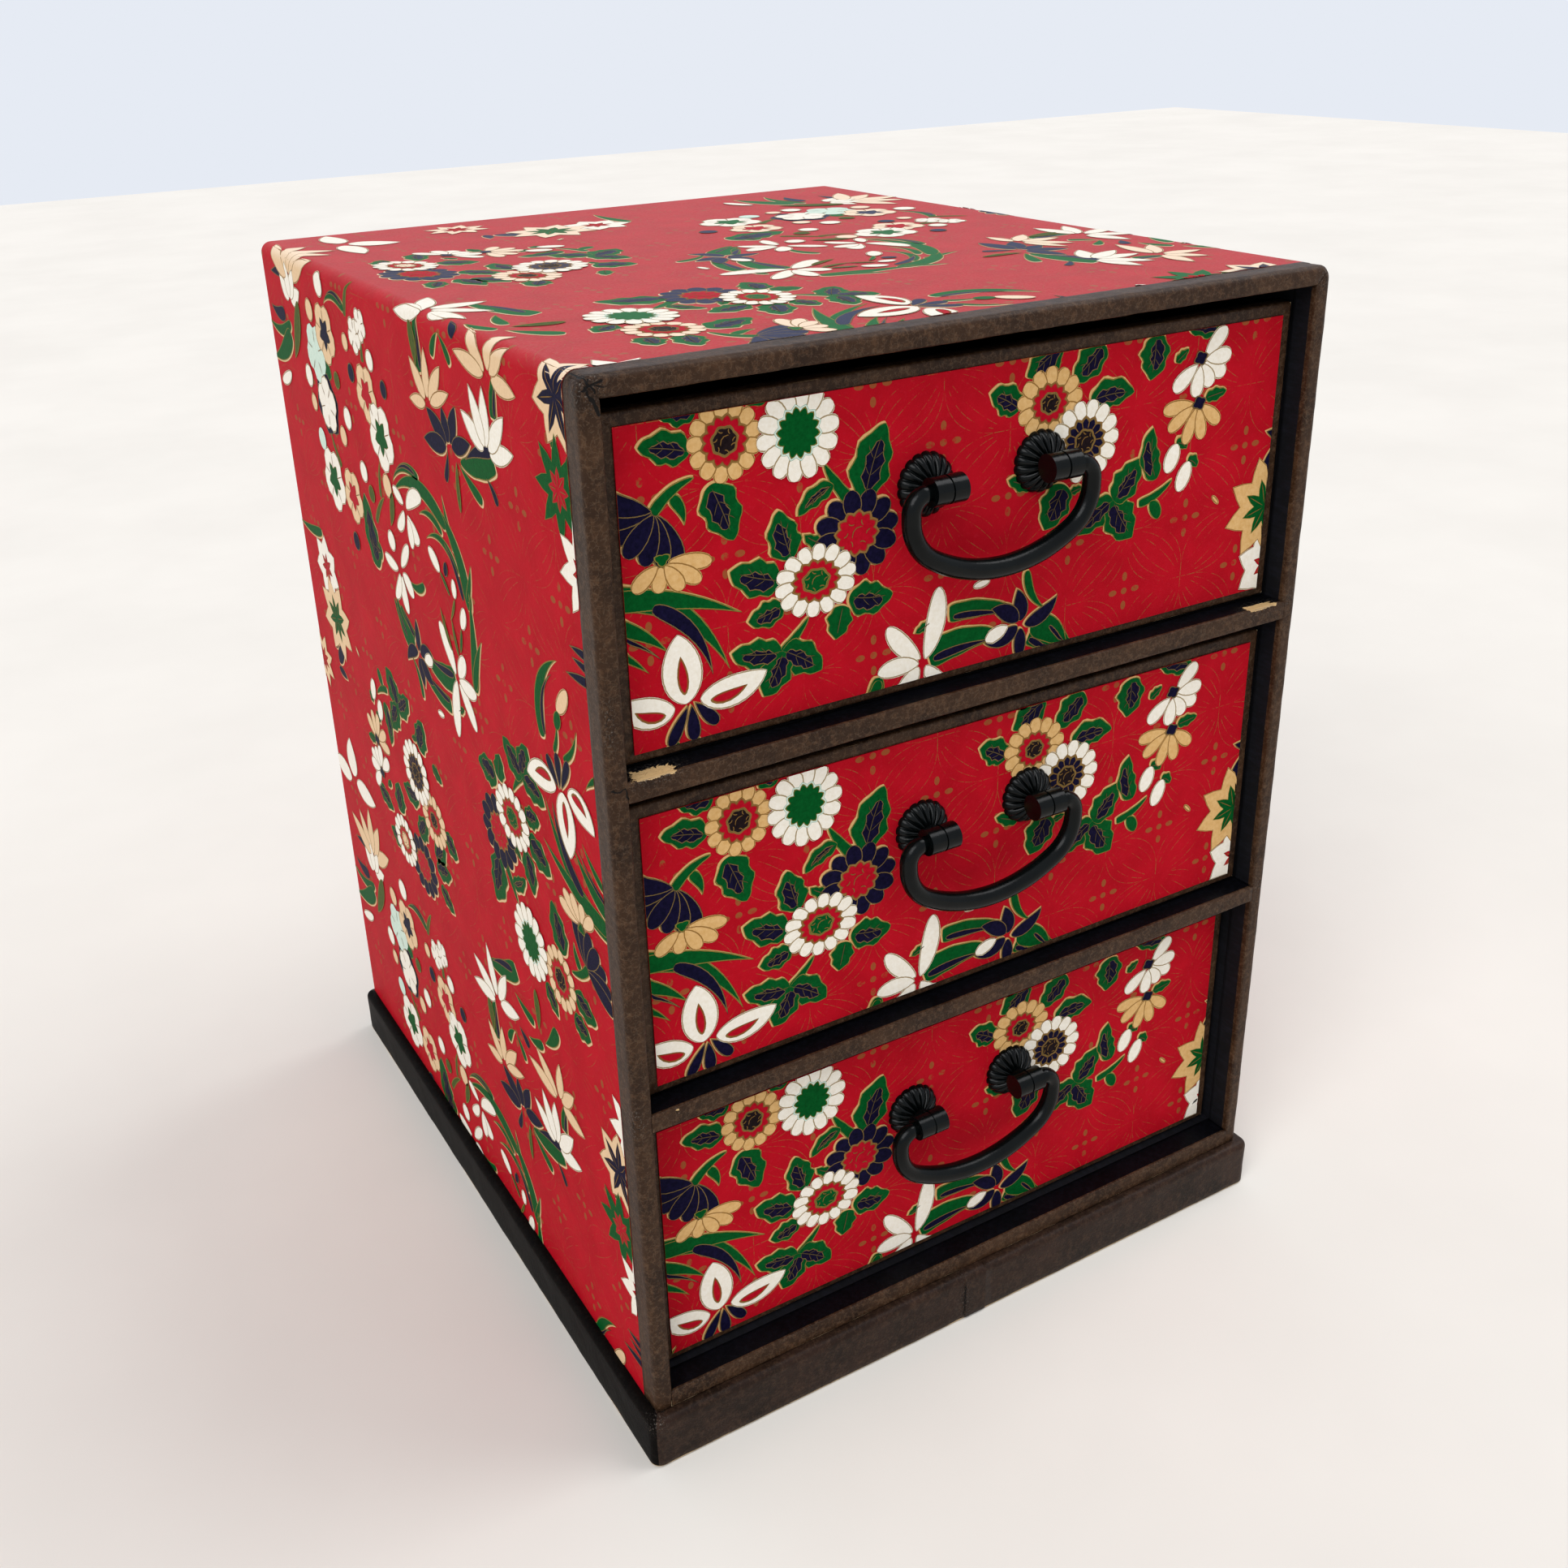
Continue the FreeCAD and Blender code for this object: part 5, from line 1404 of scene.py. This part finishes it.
def frame_bar(name, node, outer, inner, seed):
    """A bar whose section is carried from an inner line to an outer line, both given as rows of x and z.

    A section point lies at its own share of the way from the inner to the outer line, and back along Y.
    The creases push it out along the way it looks.
    """
    way = outer - inner
    unit = way / np.hypot(way[:, 0], way[:, 1])[:, None]
    walked = walked_along(outer)
    share = section[:, 0] / BOARD_MM
    flat = inner[:, None] + way[:, None] * share[None, :, None]
    round_mm = walked_along(section)
    push = CREASE_MM * creases(walked[:, None] + seed, round_mm[None])
    near_mitre = sum(np.exp(-((walked[:, None] - mitre) / MITRE_REACH_MM) ** 2) for mitre in (walked[-1], 0))
    push = push - MITRE_SINK_MM * near_mitre * (
        1 + 0.5 * crumpled(walked[:, None] + seed, round_mm[None], 1.6)
    )
    push[:, -3:] = np.maximum(push[:, -3:], 0)
    flat = flat + unit[:, None] * (push * looks[:, 0])[..., None]
    depth = FRONT_Y + section[:, 1] + push * looks[:, 1]
    points = np.stack([flat[..., 0], np.broadcast_to(depth, flat.shape[:2]), flat[..., 1]], -1)
    slots = np.zeros(len(section), int)
    slots[:NAVY_FACES] = 1
    slots[-1] = 1
    piece = closed_surface(name, points, [dark_paper, lining_paper], slots)
    set_spots(piece, "worn", WORN_SPOTS_MM, WORN_RADII_MM, 2)
    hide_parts(node)
    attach(piece, "cabinet")


corner_ways = ways_at(np.linspace(0, np.pi / 4, 6))
SIDE_ROWS, TOP_ROWS = 150, 120
turn_centre = frame_high - EDGE_RADIUS_MM
side_heights = np.linspace(frame_low[1], turn_centre[1], SIDE_ROWS)
outer_side = np.concatenate([
    np.stack([np.full(SIDE_ROWS, frame_high[0]), side_heights], 1),
    turn_centre + EDGE_RADIUS_MM * corner_ways[1:],
])
inner_side = np.stack(
    [np.full(len(outer_side), frame_high[0] - BOARD_MM), np.minimum(outer_side[:, 1], OPENING_TOP)], 1,
)
frame_bar("right_front_paper", "right_edge_binding", outer_side, inner_side, 0)
frame_bar("left_front_paper", "left_edge_binding", outer_side * (-1, 1), inner_side * (-1, 1), 57)
top_corner = turn_centre + EDGE_RADIUS_MM * corner_ways[:, ::-1]
outer_top = np.concatenate([
    top_corner[::-1],
    np.stack(
        [np.linspace(turn_centre[0], -turn_centre[0], TOP_ROWS)[1:-1], np.full(TOP_ROWS - 2, frame_high[1])],
        1,
    ),
    top_corner * (-1, 1),
])
inner_top = np.stack([np.clip(outer_top[:, 0], BOARD_MM - frame_high[0], frame_high[0] - BOARD_MM),
                      np.full(len(outer_top), OPENING_TOP)], 1)
frame_bar("top_front_paper", "top_edge_binding", outer_top, inner_top, 120)


# Shelf edges and the bottom board's edge: the same paper folded over the front of each board, between
# the side bindings. The navy lining laps forward over it to a hair behind the arris, and it is chipped.
SHELF_ROUND_MM, SHELF_CREASE_MM = 0.75, 0.09
LAP_BACK_MM, LAP_ROWS = 0.5, 14
BURIED_MM, CHIP_DEPTH_MM = 0.3, 0.35


def shelf_bar(name, node, chips=(), chip_radii=()):
    """A bar along X with soft upper and lower front arrises. The faces above and below carry the lining."""
    low, high = box_mm(node)
    reach = frame_high[0] - BOARD_MM + BURIED_MM
    quarter = np.linspace(0, np.pi / 2, 5)
    rounding = SHELF_ROUND_MM
    upper = np.stack(
        [FRONT_Y + rounding * (1 - np.sin(quarter)), high[2] - rounding * (1 - np.cos(quarter))], 1,
    )
    lower = np.stack(
        [FRONT_Y + rounding * (1 - np.cos(quarter)), low[2] + rounding * (1 - np.sin(quarter))], 1,
    )
    lap_start = FRONT_Y + rounding + LAP_BACK_MM
    top_back = lap_start + (BINDING_BACK_Y - lap_start) * np.linspace(1, 0, LAP_ROWS) ** 1.8
    front_heights = np.linspace(high[2] - rounding, low[2] + rounding, 7)[1:-1]
    profile = np.concatenate([
        np.stack([top_back, np.full(LAP_ROWS, high[2])], 1), upper,
        np.stack([np.full(5, FRONT_Y), front_heights], 1), lower,
        np.stack([top_back[::-1], np.full(LAP_ROWS, low[2])], 1),
    ])
    slots = np.zeros(len(profile), int)
    slots[:LAP_ROWS - 1] = 1
    slots[-LAP_ROWS:] = 1
    along = np.unique(np.concatenate([np.linspace(-reach, reach, 150)] + [
        np.linspace(x - r[0] * 1.4, x + r[0] * 1.4, 30) for (x, _, _), r in zip(chips, chip_radii)
    ]).clip(-reach, reach).round(4))
    height, middle = (high[2] - low[2]) / 2, (high[2] + low[2]) / 2
    round_mm = walked_along(profile)
    push = SHELF_CREASE_MM * creases(along[:, None] + low[2], round_mm[None])
    torn = np.zeros((len(along), len(profile)))
    for centre, radii in zip(chips, chip_radii):
        away = ((along[:, None] - centre[0]) / radii[0]) ** 6 + ((profile[:, 0] - centre[1]) / radii[1]) ** 6
        away = (away + ((profile[:, 1] - centre[2]) / radii[2]) ** 6) ** (1 / 6)
        torn = np.maximum(torn, np.clip(1.25 - away, 0, 1))
    push = push - CHIP_DEPTH_MM * np.clip(3 * torn - 0.9, 0, 1)
    out = np.stack([-np.exp(-((profile[:, 0] - FRONT_Y) / 1.0) ** 2), (profile[:, 1] - middle) / height], 1)
    points = np.stack([
        np.broadcast_to(along[:, None], push.shape), profile[:, 0] + push * out[:, 0],
        profile[:, 1] + push * out[:, 1],
    ], -1)
    piece = closed_surface(name, points, [dark_paper, shaded_lapped_lining], slots)
    set_spots(piece, "torn", chips, chip_radii, 6)
    set_spots(piece, "worn", chips, np.array(chip_radii).reshape(-1, 3) * (1.25, 1.7, 4), 2)
    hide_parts(node)
    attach(piece, "cabinet")


# Where the lining laps onto the shelves it is a darker copy of the lining paper: painted shade
shaded_lapped_lining = creased_paper(
    "navy_black_kozo_paper_lap_painted_shade", ("#030304", "#08080c"), "#13131a", "#1b1d26", gloss=0.06,
)
upper_top, lower_top = (box_mm(f"{shelf}_shelf_binding")[1][2] for shelf in ("upper", "lower"))
shelf_bar(
    "upper_shelf_front_paper", "upper_shelf_binding",
    ((-115.2, FRONT_Y + 3.0, upper_top - 0.1), (114.5, FRONT_Y + 1.7, upper_top - 0.1)),
    ((8.4, 3.9, 0.9), (8.0, 2.6, 0.9)),
)
shelf_bar(
    "lower_shelf_front_paper", "lower_shelf_binding", ((-115.5, FRONT_Y, lower_top - 1.2),),
    ((0.8, 0.8, 0.6),),
)
shelf_bar("bottom_front_paper", "bottom_edge_binding")


# Plinth: a low box wrapped in one strip of the dark paper, with soft corners and a soft upper arris.
# The strip's end laps over its start near the middle of the front, 9 mm wide.
def rounded_ring(half_x, half_y, radius, along_x, along_y, arc_points):
    """The outline of a rectangle with round corners, anticlockwise, and the way that each point looks.

    The sides take the given places along X and Y, less their ends, which belong to the quarter circles.
    """
    ring, looks = [], []
    for index, (sign_x, sign_y) in enumerate(((1, -1), (1, 1), (-1, 1), (-1, -1))):
        level = index % 2 == 0
        straight = (along_x if level else along_y)[::1 if index < 2 else -1]
        still = np.full(len(straight), sign_y * half_y if level else sign_x * half_x)
        ring.append(np.stack([straight, still] if level else [still, straight], 1)[1:-1])
        looks.append(np.tile([0.0, sign_y] if level else [sign_x, 0.0], (len(straight) - 2, 1)))
        ways = ways_at((index - 1) * np.pi / 2 + np.linspace(0, np.pi / 2, arc_points))
        ring.append(np.array([sign_x * (half_x - radius), sign_y * (half_y - radius)]) + radius * ways)
        looks.append(ways)
    return np.concatenate(ring), np.concatenate(looks)


PLINTH_ROUND_MM = 2.6
PLINTH_CREASE_MM = 0.2
SEAM_X_MM, LAP_WIDTH_MM, LAP_RISE_MM = -7.0, 9.0, 0.45
plinth_low, plinth_high = box_mm("base_wrap")
half_wide, half_deep = plinth_high[:2]
straight_x = np.unique(np.concatenate([
    np.linspace(-half_wide + EDGE_RADIUS_MM, half_wide - EDGE_RADIUS_MM, 70),
    SEAM_X_MM + np.array(
        [
            -1.0, -0.5, -0.25, 0, 0.15, 0.3, 0.8, 2, 4, 6, LAP_WIDTH_MM - 0.8, LAP_WIDTH_MM - 0.1,
            LAP_WIDTH_MM + 0.2,
        ],
    ),
]))
straight_y = np.linspace(-half_deep + EDGE_RADIUS_MM, half_deep - EDGE_RADIUS_MM, 80)
plan, plan_looks = rounded_ring(half_wide, half_deep, EDGE_RADIUS_MM, straight_x, straight_y, ARC_POINTS)
quarter = np.linspace(0, np.pi / 2, 7)
side_levels = np.linspace(plinth_high[2] - PLINTH_ROUND_MM, plinth_low[2] + 0.6, 10)
side_inset = np.concatenate([
    [7.0, 5.0], np.linspace(4.4, PLINTH_ROUND_MM, 3), PLINTH_ROUND_MM * (1 - np.sin(quarter))[1:],
    np.zeros(8),
    [0.0, 0.5, 3.0, 7.0],
])
side_level = np.concatenate([
    np.full(5, plinth_high[2]), plinth_high[2] - PLINTH_ROUND_MM * (1 - np.cos(quarter))[1:],
    side_levels[1:-1],
    [side_levels[-1], plinth_low[2], plinth_low[2], plinth_low[2]],
])
walked = walked_along(plan)
round_mm = walked_along(np.stack([side_inset, side_level], 1))
on_front = plan[:, 1] < -half_deep + 1
lap = np.clip(
    np.minimum(plan[:, 0] - SEAM_X_MM, SEAM_X_MM + LAP_WIDTH_MM - plan[:, 0]) / 0.2 + 0.5, 0, 1,
) * on_front
push = PLINTH_CREASE_MM * (creases(walked[:, None], round_mm[None]) - 1) + LAP_RISE_MM * lap[:, None]
push[:, 0] = push[:, -1] = 0
side_way = np.array([0.0] * 5 + list(np.sin(quarter)[1:]) + [1.0] * 9 + [0.6, 0.0, 0.0])
up_way = np.array([1.0] * 5 + list(np.cos(quarter)[1:]) + [0.0] * 9 + [0.0, 0.0, 0.0])
flat = plan[:, None] - plan_looks[:, None] * (side_inset - push * side_way)[..., None]
plinth_points = np.concatenate([flat, (side_level + push * up_way)[..., None]], -1)
# The strokes at the lap seam draw a painted shade line beside the lap's edge
plinth_skin = creased_paper(
    "brown_black_creased_kozo_paper", ("#180e08", "#2f1e16"), "#4e392b", "#66523f",
    ((-7.3, 2.0, -7.0, 13.0, 0.25), (-7.0, 13.0, -6.6, 17.0, 0.2)),
)
# The plinth's left side is made near-black, darker than its front
plinth_left_darker_skin = creased_paper(
    "black_creased_kozo_paper", ("#070606", "#0f0c0a"), "#1b1714", "#292420", gloss=0.02,
)
plinth_slots = (plan_looks[:, :1] < -0.6).astype(int)
plinth_paper = closed_surface(
    "plinth_paper", plinth_points, [plinth_skin, plinth_left_darker_skin], plinth_slots, True,
)
set_spots(plinth_paper, "worn", ((-7, -149, 8), (-133, -150, 20)), ((2.5, 6, 12), (6, 6, 6)), 2)
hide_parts("base_wrap")
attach(plinth_paper, "cabinet")


# Drawer fronts: pasteboard covered in the dark paper, seen as a border 4 mm wide round the red panel.
# The paper is folded over soft arrises and back along the board's edges.
FRONT_ROUND_MM, FRONT_CORNER_MM = 1.1, 1.2
BORDER_INSET_MM = 6.5
BORDER_CREASE_MM = 0.07
for which in DRAWERS:
    low, high = box_mm(f"{which}_drawer_front_cover")
    half_wide, half_tall = (high[0] - low[0]) / 2, (high[2] - low[2]) / 2
    middle_x, middle_z = (high[0] + low[0]) / 2, (high[2] + low[2]) / 2
    quarter = np.linspace(0, np.pi / 2, 6)
    inset = np.concatenate(
        [np.zeros(3), FRONT_ROUND_MM * (1 - np.cos(quarter)), [2.0, 3.4, BORDER_INSET_MM, BORDER_INSET_MM]],
    )
    depth = np.concatenate([
        np.linspace(high[1], low[1] + 2, 3), low[1] + FRONT_ROUND_MM * (1 - np.sin(quarter)), [low[1]] * 3,
        [low[1] + 0.4],
    ])
    side_way = np.concatenate([np.ones(3), np.cos(quarter), np.zeros(4)])
    out_way = np.concatenate([np.zeros(3), np.sin(quarter), [1.0, 1.0, 0.0, 0.0]])
    across = np.linspace(-half_wide + FRONT_CORNER_MM, half_wide - FRONT_CORNER_MM, 110)
    upright = np.linspace(-half_tall + FRONT_CORNER_MM, half_tall - FRONT_CORNER_MM, 50)
    ring, ring_looks = rounded_ring(half_wide, half_tall, FRONT_CORNER_MM, across, upright, 5)
    walked = walked_along(ring)
    round_mm = walked_along(np.stack([inset, depth], 1))
    push = BORDER_CREASE_MM * (creases(walked[:, None] + middle_z, round_mm[None]) - 1)
    rounded = ring[:, None] - ring_looks[:, None] * inset[None, :, None]
    limits = np.array([half_wide, half_tall]) - inset[:, None]
    square = np.clip(ring[:, None], -limits, limits)
    reach = np.where((inset < FRONT_CORNER_MM)[None, :, None], rounded, square)
    reach = reach + ring_looks[:, None] * (push * side_way)[..., None]
    skin = np.stack([middle_x + reach[..., 0], depth - push * out_way, middle_z + reach[..., 1]], -1)
    border = closed_surface(f"{which}_front_border_paper", skin, [dark_paper], None, True)
    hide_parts(f"{which}_drawer_front_cover")
    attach(border, f"{which}_drawer")


# Rosettes: domed iron scallops under each post, pressed into eighteen round lobes that meet at the middle.
# Blackened iron, satin, with a faint grey-green bloom and a few pale specks where it is rubbed.
black_iron, nodes, object_place = start_material("blackened_forged_iron")
bloom, _ = mottled(nodes, object_place, 5, ("#020404", "#070b0b"))
pitted, pits = mottled(nodes, object_place, 0.6, (bloom, "#3c423e"), (0.68, 0.95), 0.7)
relief = raised(nodes, pits, 0.05)
sheen = spread(nodes, pits, 0.3, 0.7, 0.15, 0.26)
finish_material(
    nodes, Base_Color=pitted, Metallic=0.0, Roughness=sheen, Specular_IOR_Level=0.14, Normal=relief,
)
LOBES, POINTS_PER_LOBE = 18, 12
LOBE_DEPTH_MM, LOBE_ROUNDNESS, NOTCH_SHARE = 2.3, 0.985, 0.085
RIM_SINK_MM, RIM_LIFT_MM = 0.05, 0.35
for which in DRAWERS:
    low, high = box_mm(f"{which}_handle_rosettes")
    radius = (high[2] - low[2]) / 2
    middle_z = (high[2] + low[2]) / 2
    rise = high[1] - low[1]
    angle = np.linspace(0, 2 * np.pi, LOBES * POINTS_PER_LOBE + 1)[:-1]
    across_lobe = ((angle * LOBES / (2 * np.pi)) % 1) * 2 - 1
    arch = np.sqrt(1 - (LOBE_ROUNDNESS * across_lobe) ** 2)
    share = np.concatenate([np.linspace(0.0, 0.88, 12), [0.93, 0.965, 0.985, 1.0, 1.0]])
    dome = rise * (1 - share ** 2.2) ** 0.55
    dome[-1] = -RIM_SINK_MM
    sink = LOBE_DEPTH_MM * np.minimum(share * 1.6, 1.0) ** 0.8 * (1 - share ** 6)
    height = np.maximum(dome - sink * (1 - arch[:, None]), RIM_LIFT_MM * (1 - share) - RIM_SINK_MM)
    height[:, -1] = -RIM_SINK_MM
    away = radius * share * (1 - NOTCH_SHARE * share ** 3 * (1 - arch[:, None]))
    for side, sign in (("left", -1), ("right", 1)):
        middle_x = sign * (high[0] - radius)
        shell = np.stack([
            middle_x + away * np.cos(angle)[:, None], high[1] - height,
            middle_z + away * np.sin(angle)[:, None],
        ], -1)
        rosette = closed_surface(f"{which}_{side}_scallop", np.swapaxes(shell, 0, 1), [black_iron])
        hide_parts(f"{which}_handle_rosettes")
        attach(rosette, f"{which}_drawer")


# Bails: round iron rods bent into a bow, thick in the middle and drawn down towards the curled ends
# that turn into the knuckles of the posts.
BOW_MM, SIDE_BEND_MM, CURL_MM, ARM_MM = 50.0, 15.0, 5.5, 1.6
SOLID_ROD_MM, THICK_MM, THIN_MM = 3.2, 3.3, 2.75
PIN_MM, PIN_RUN_MM = 2.2, 5.0
HAMMERED_SHARE = 0.012
for which in DRAWERS:
    low, high = box_mm(f"{which}_bail")
    axis_y = (low[1] + high[1]) / 2
    pivot_z = high[2] - SOLID_ROD_MM
    half_span = high[0] - SOLID_ROD_MM
    start_x = half_span - CURL_MM
    side_height = -(CURL_MM + ARM_MM)
    bow_centre = side_height + math.sqrt((BOW_MM - SIDE_BEND_MM) ** 2 - (half_span - SIDE_BEND_MM) ** 2)
    lean = math.atan2(half_span - SIDE_BEND_MM, bow_centre - side_height)
    curl_turn = np.linspace(0, np.pi / 2, 10)
    side_turn = np.linspace(np.pi / 2, lean, 14)[1:]
    bow_turn = np.linspace(lean, -lean, 40)[1:-1]
    half_line = np.concatenate([
        np.stack([np.linspace(start_x - PIN_RUN_MM, start_x, 4)[:-1], np.zeros(3)], 1),
        np.stack([start_x + CURL_MM * np.sin(curl_turn), CURL_MM * (np.cos(curl_turn) - 1)], 1),
        np.stack(
            [
                half_span - SIDE_BEND_MM + SIDE_BEND_MM * np.sin(side_turn),
                side_height - SIDE_BEND_MM * np.cos(side_turn),
            ],
            1,
        ),
    ])
    line = np.concatenate([
        half_line, np.stack([BOW_MM * np.sin(bow_turn), bow_centre - BOW_MM * np.cos(bow_turn)], 1),
        half_line[::-1] * (-1, 1),
    ])
    walked = walked_along(line)
    share = walked / walked[-1]
    thick = THIN_MM + (THICK_MM - THIN_MM) * np.sin(np.pi * share) ** 1.5
    from_end = np.minimum(walked, walked[-1] - walked)
    thick = np.where(from_end < PIN_RUN_MM + 0.2, PIN_MM, thick)
    hammered = 1 + HAMMERED_SHARE * crumpled(walked, walked * 0, 7.0)
    heading = np.gradient(line, walked, axis=0)
    heading = heading / np.hypot(heading[:, 0], heading[:, 1])[:, None]
    aside = np.stack([-heading[:, 1], heading[:, 0]], 1)
    around = np.linspace(0, 2 * np.pi, 29)[:-1]
    size = (thick * hammered)[:, None]
    in_plane = size * np.cos(around)
    tube = np.stack([
        line[:, :1] + aside[:, :1] * in_plane, axis_y + size * np.sin(around) * np.ones_like(in_plane),
        pivot_z + line[:, 1:] + aside[:, 1:] * in_plane,
    ], -1)
    bail = closed_surface(f"{which}_bow_rod", tube, [black_iron])
    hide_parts(f"{which}_bail")
    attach(bail, f"{which}_handle")


# Posts and nuts: turned iron knuckles on a shank through the drawer front, held by a nut inside.
for which in DRAWERS:
    dress(black_iron, f"{which}_handle_posts")
    dress(black_iron, f"{which}_handle_nuts")
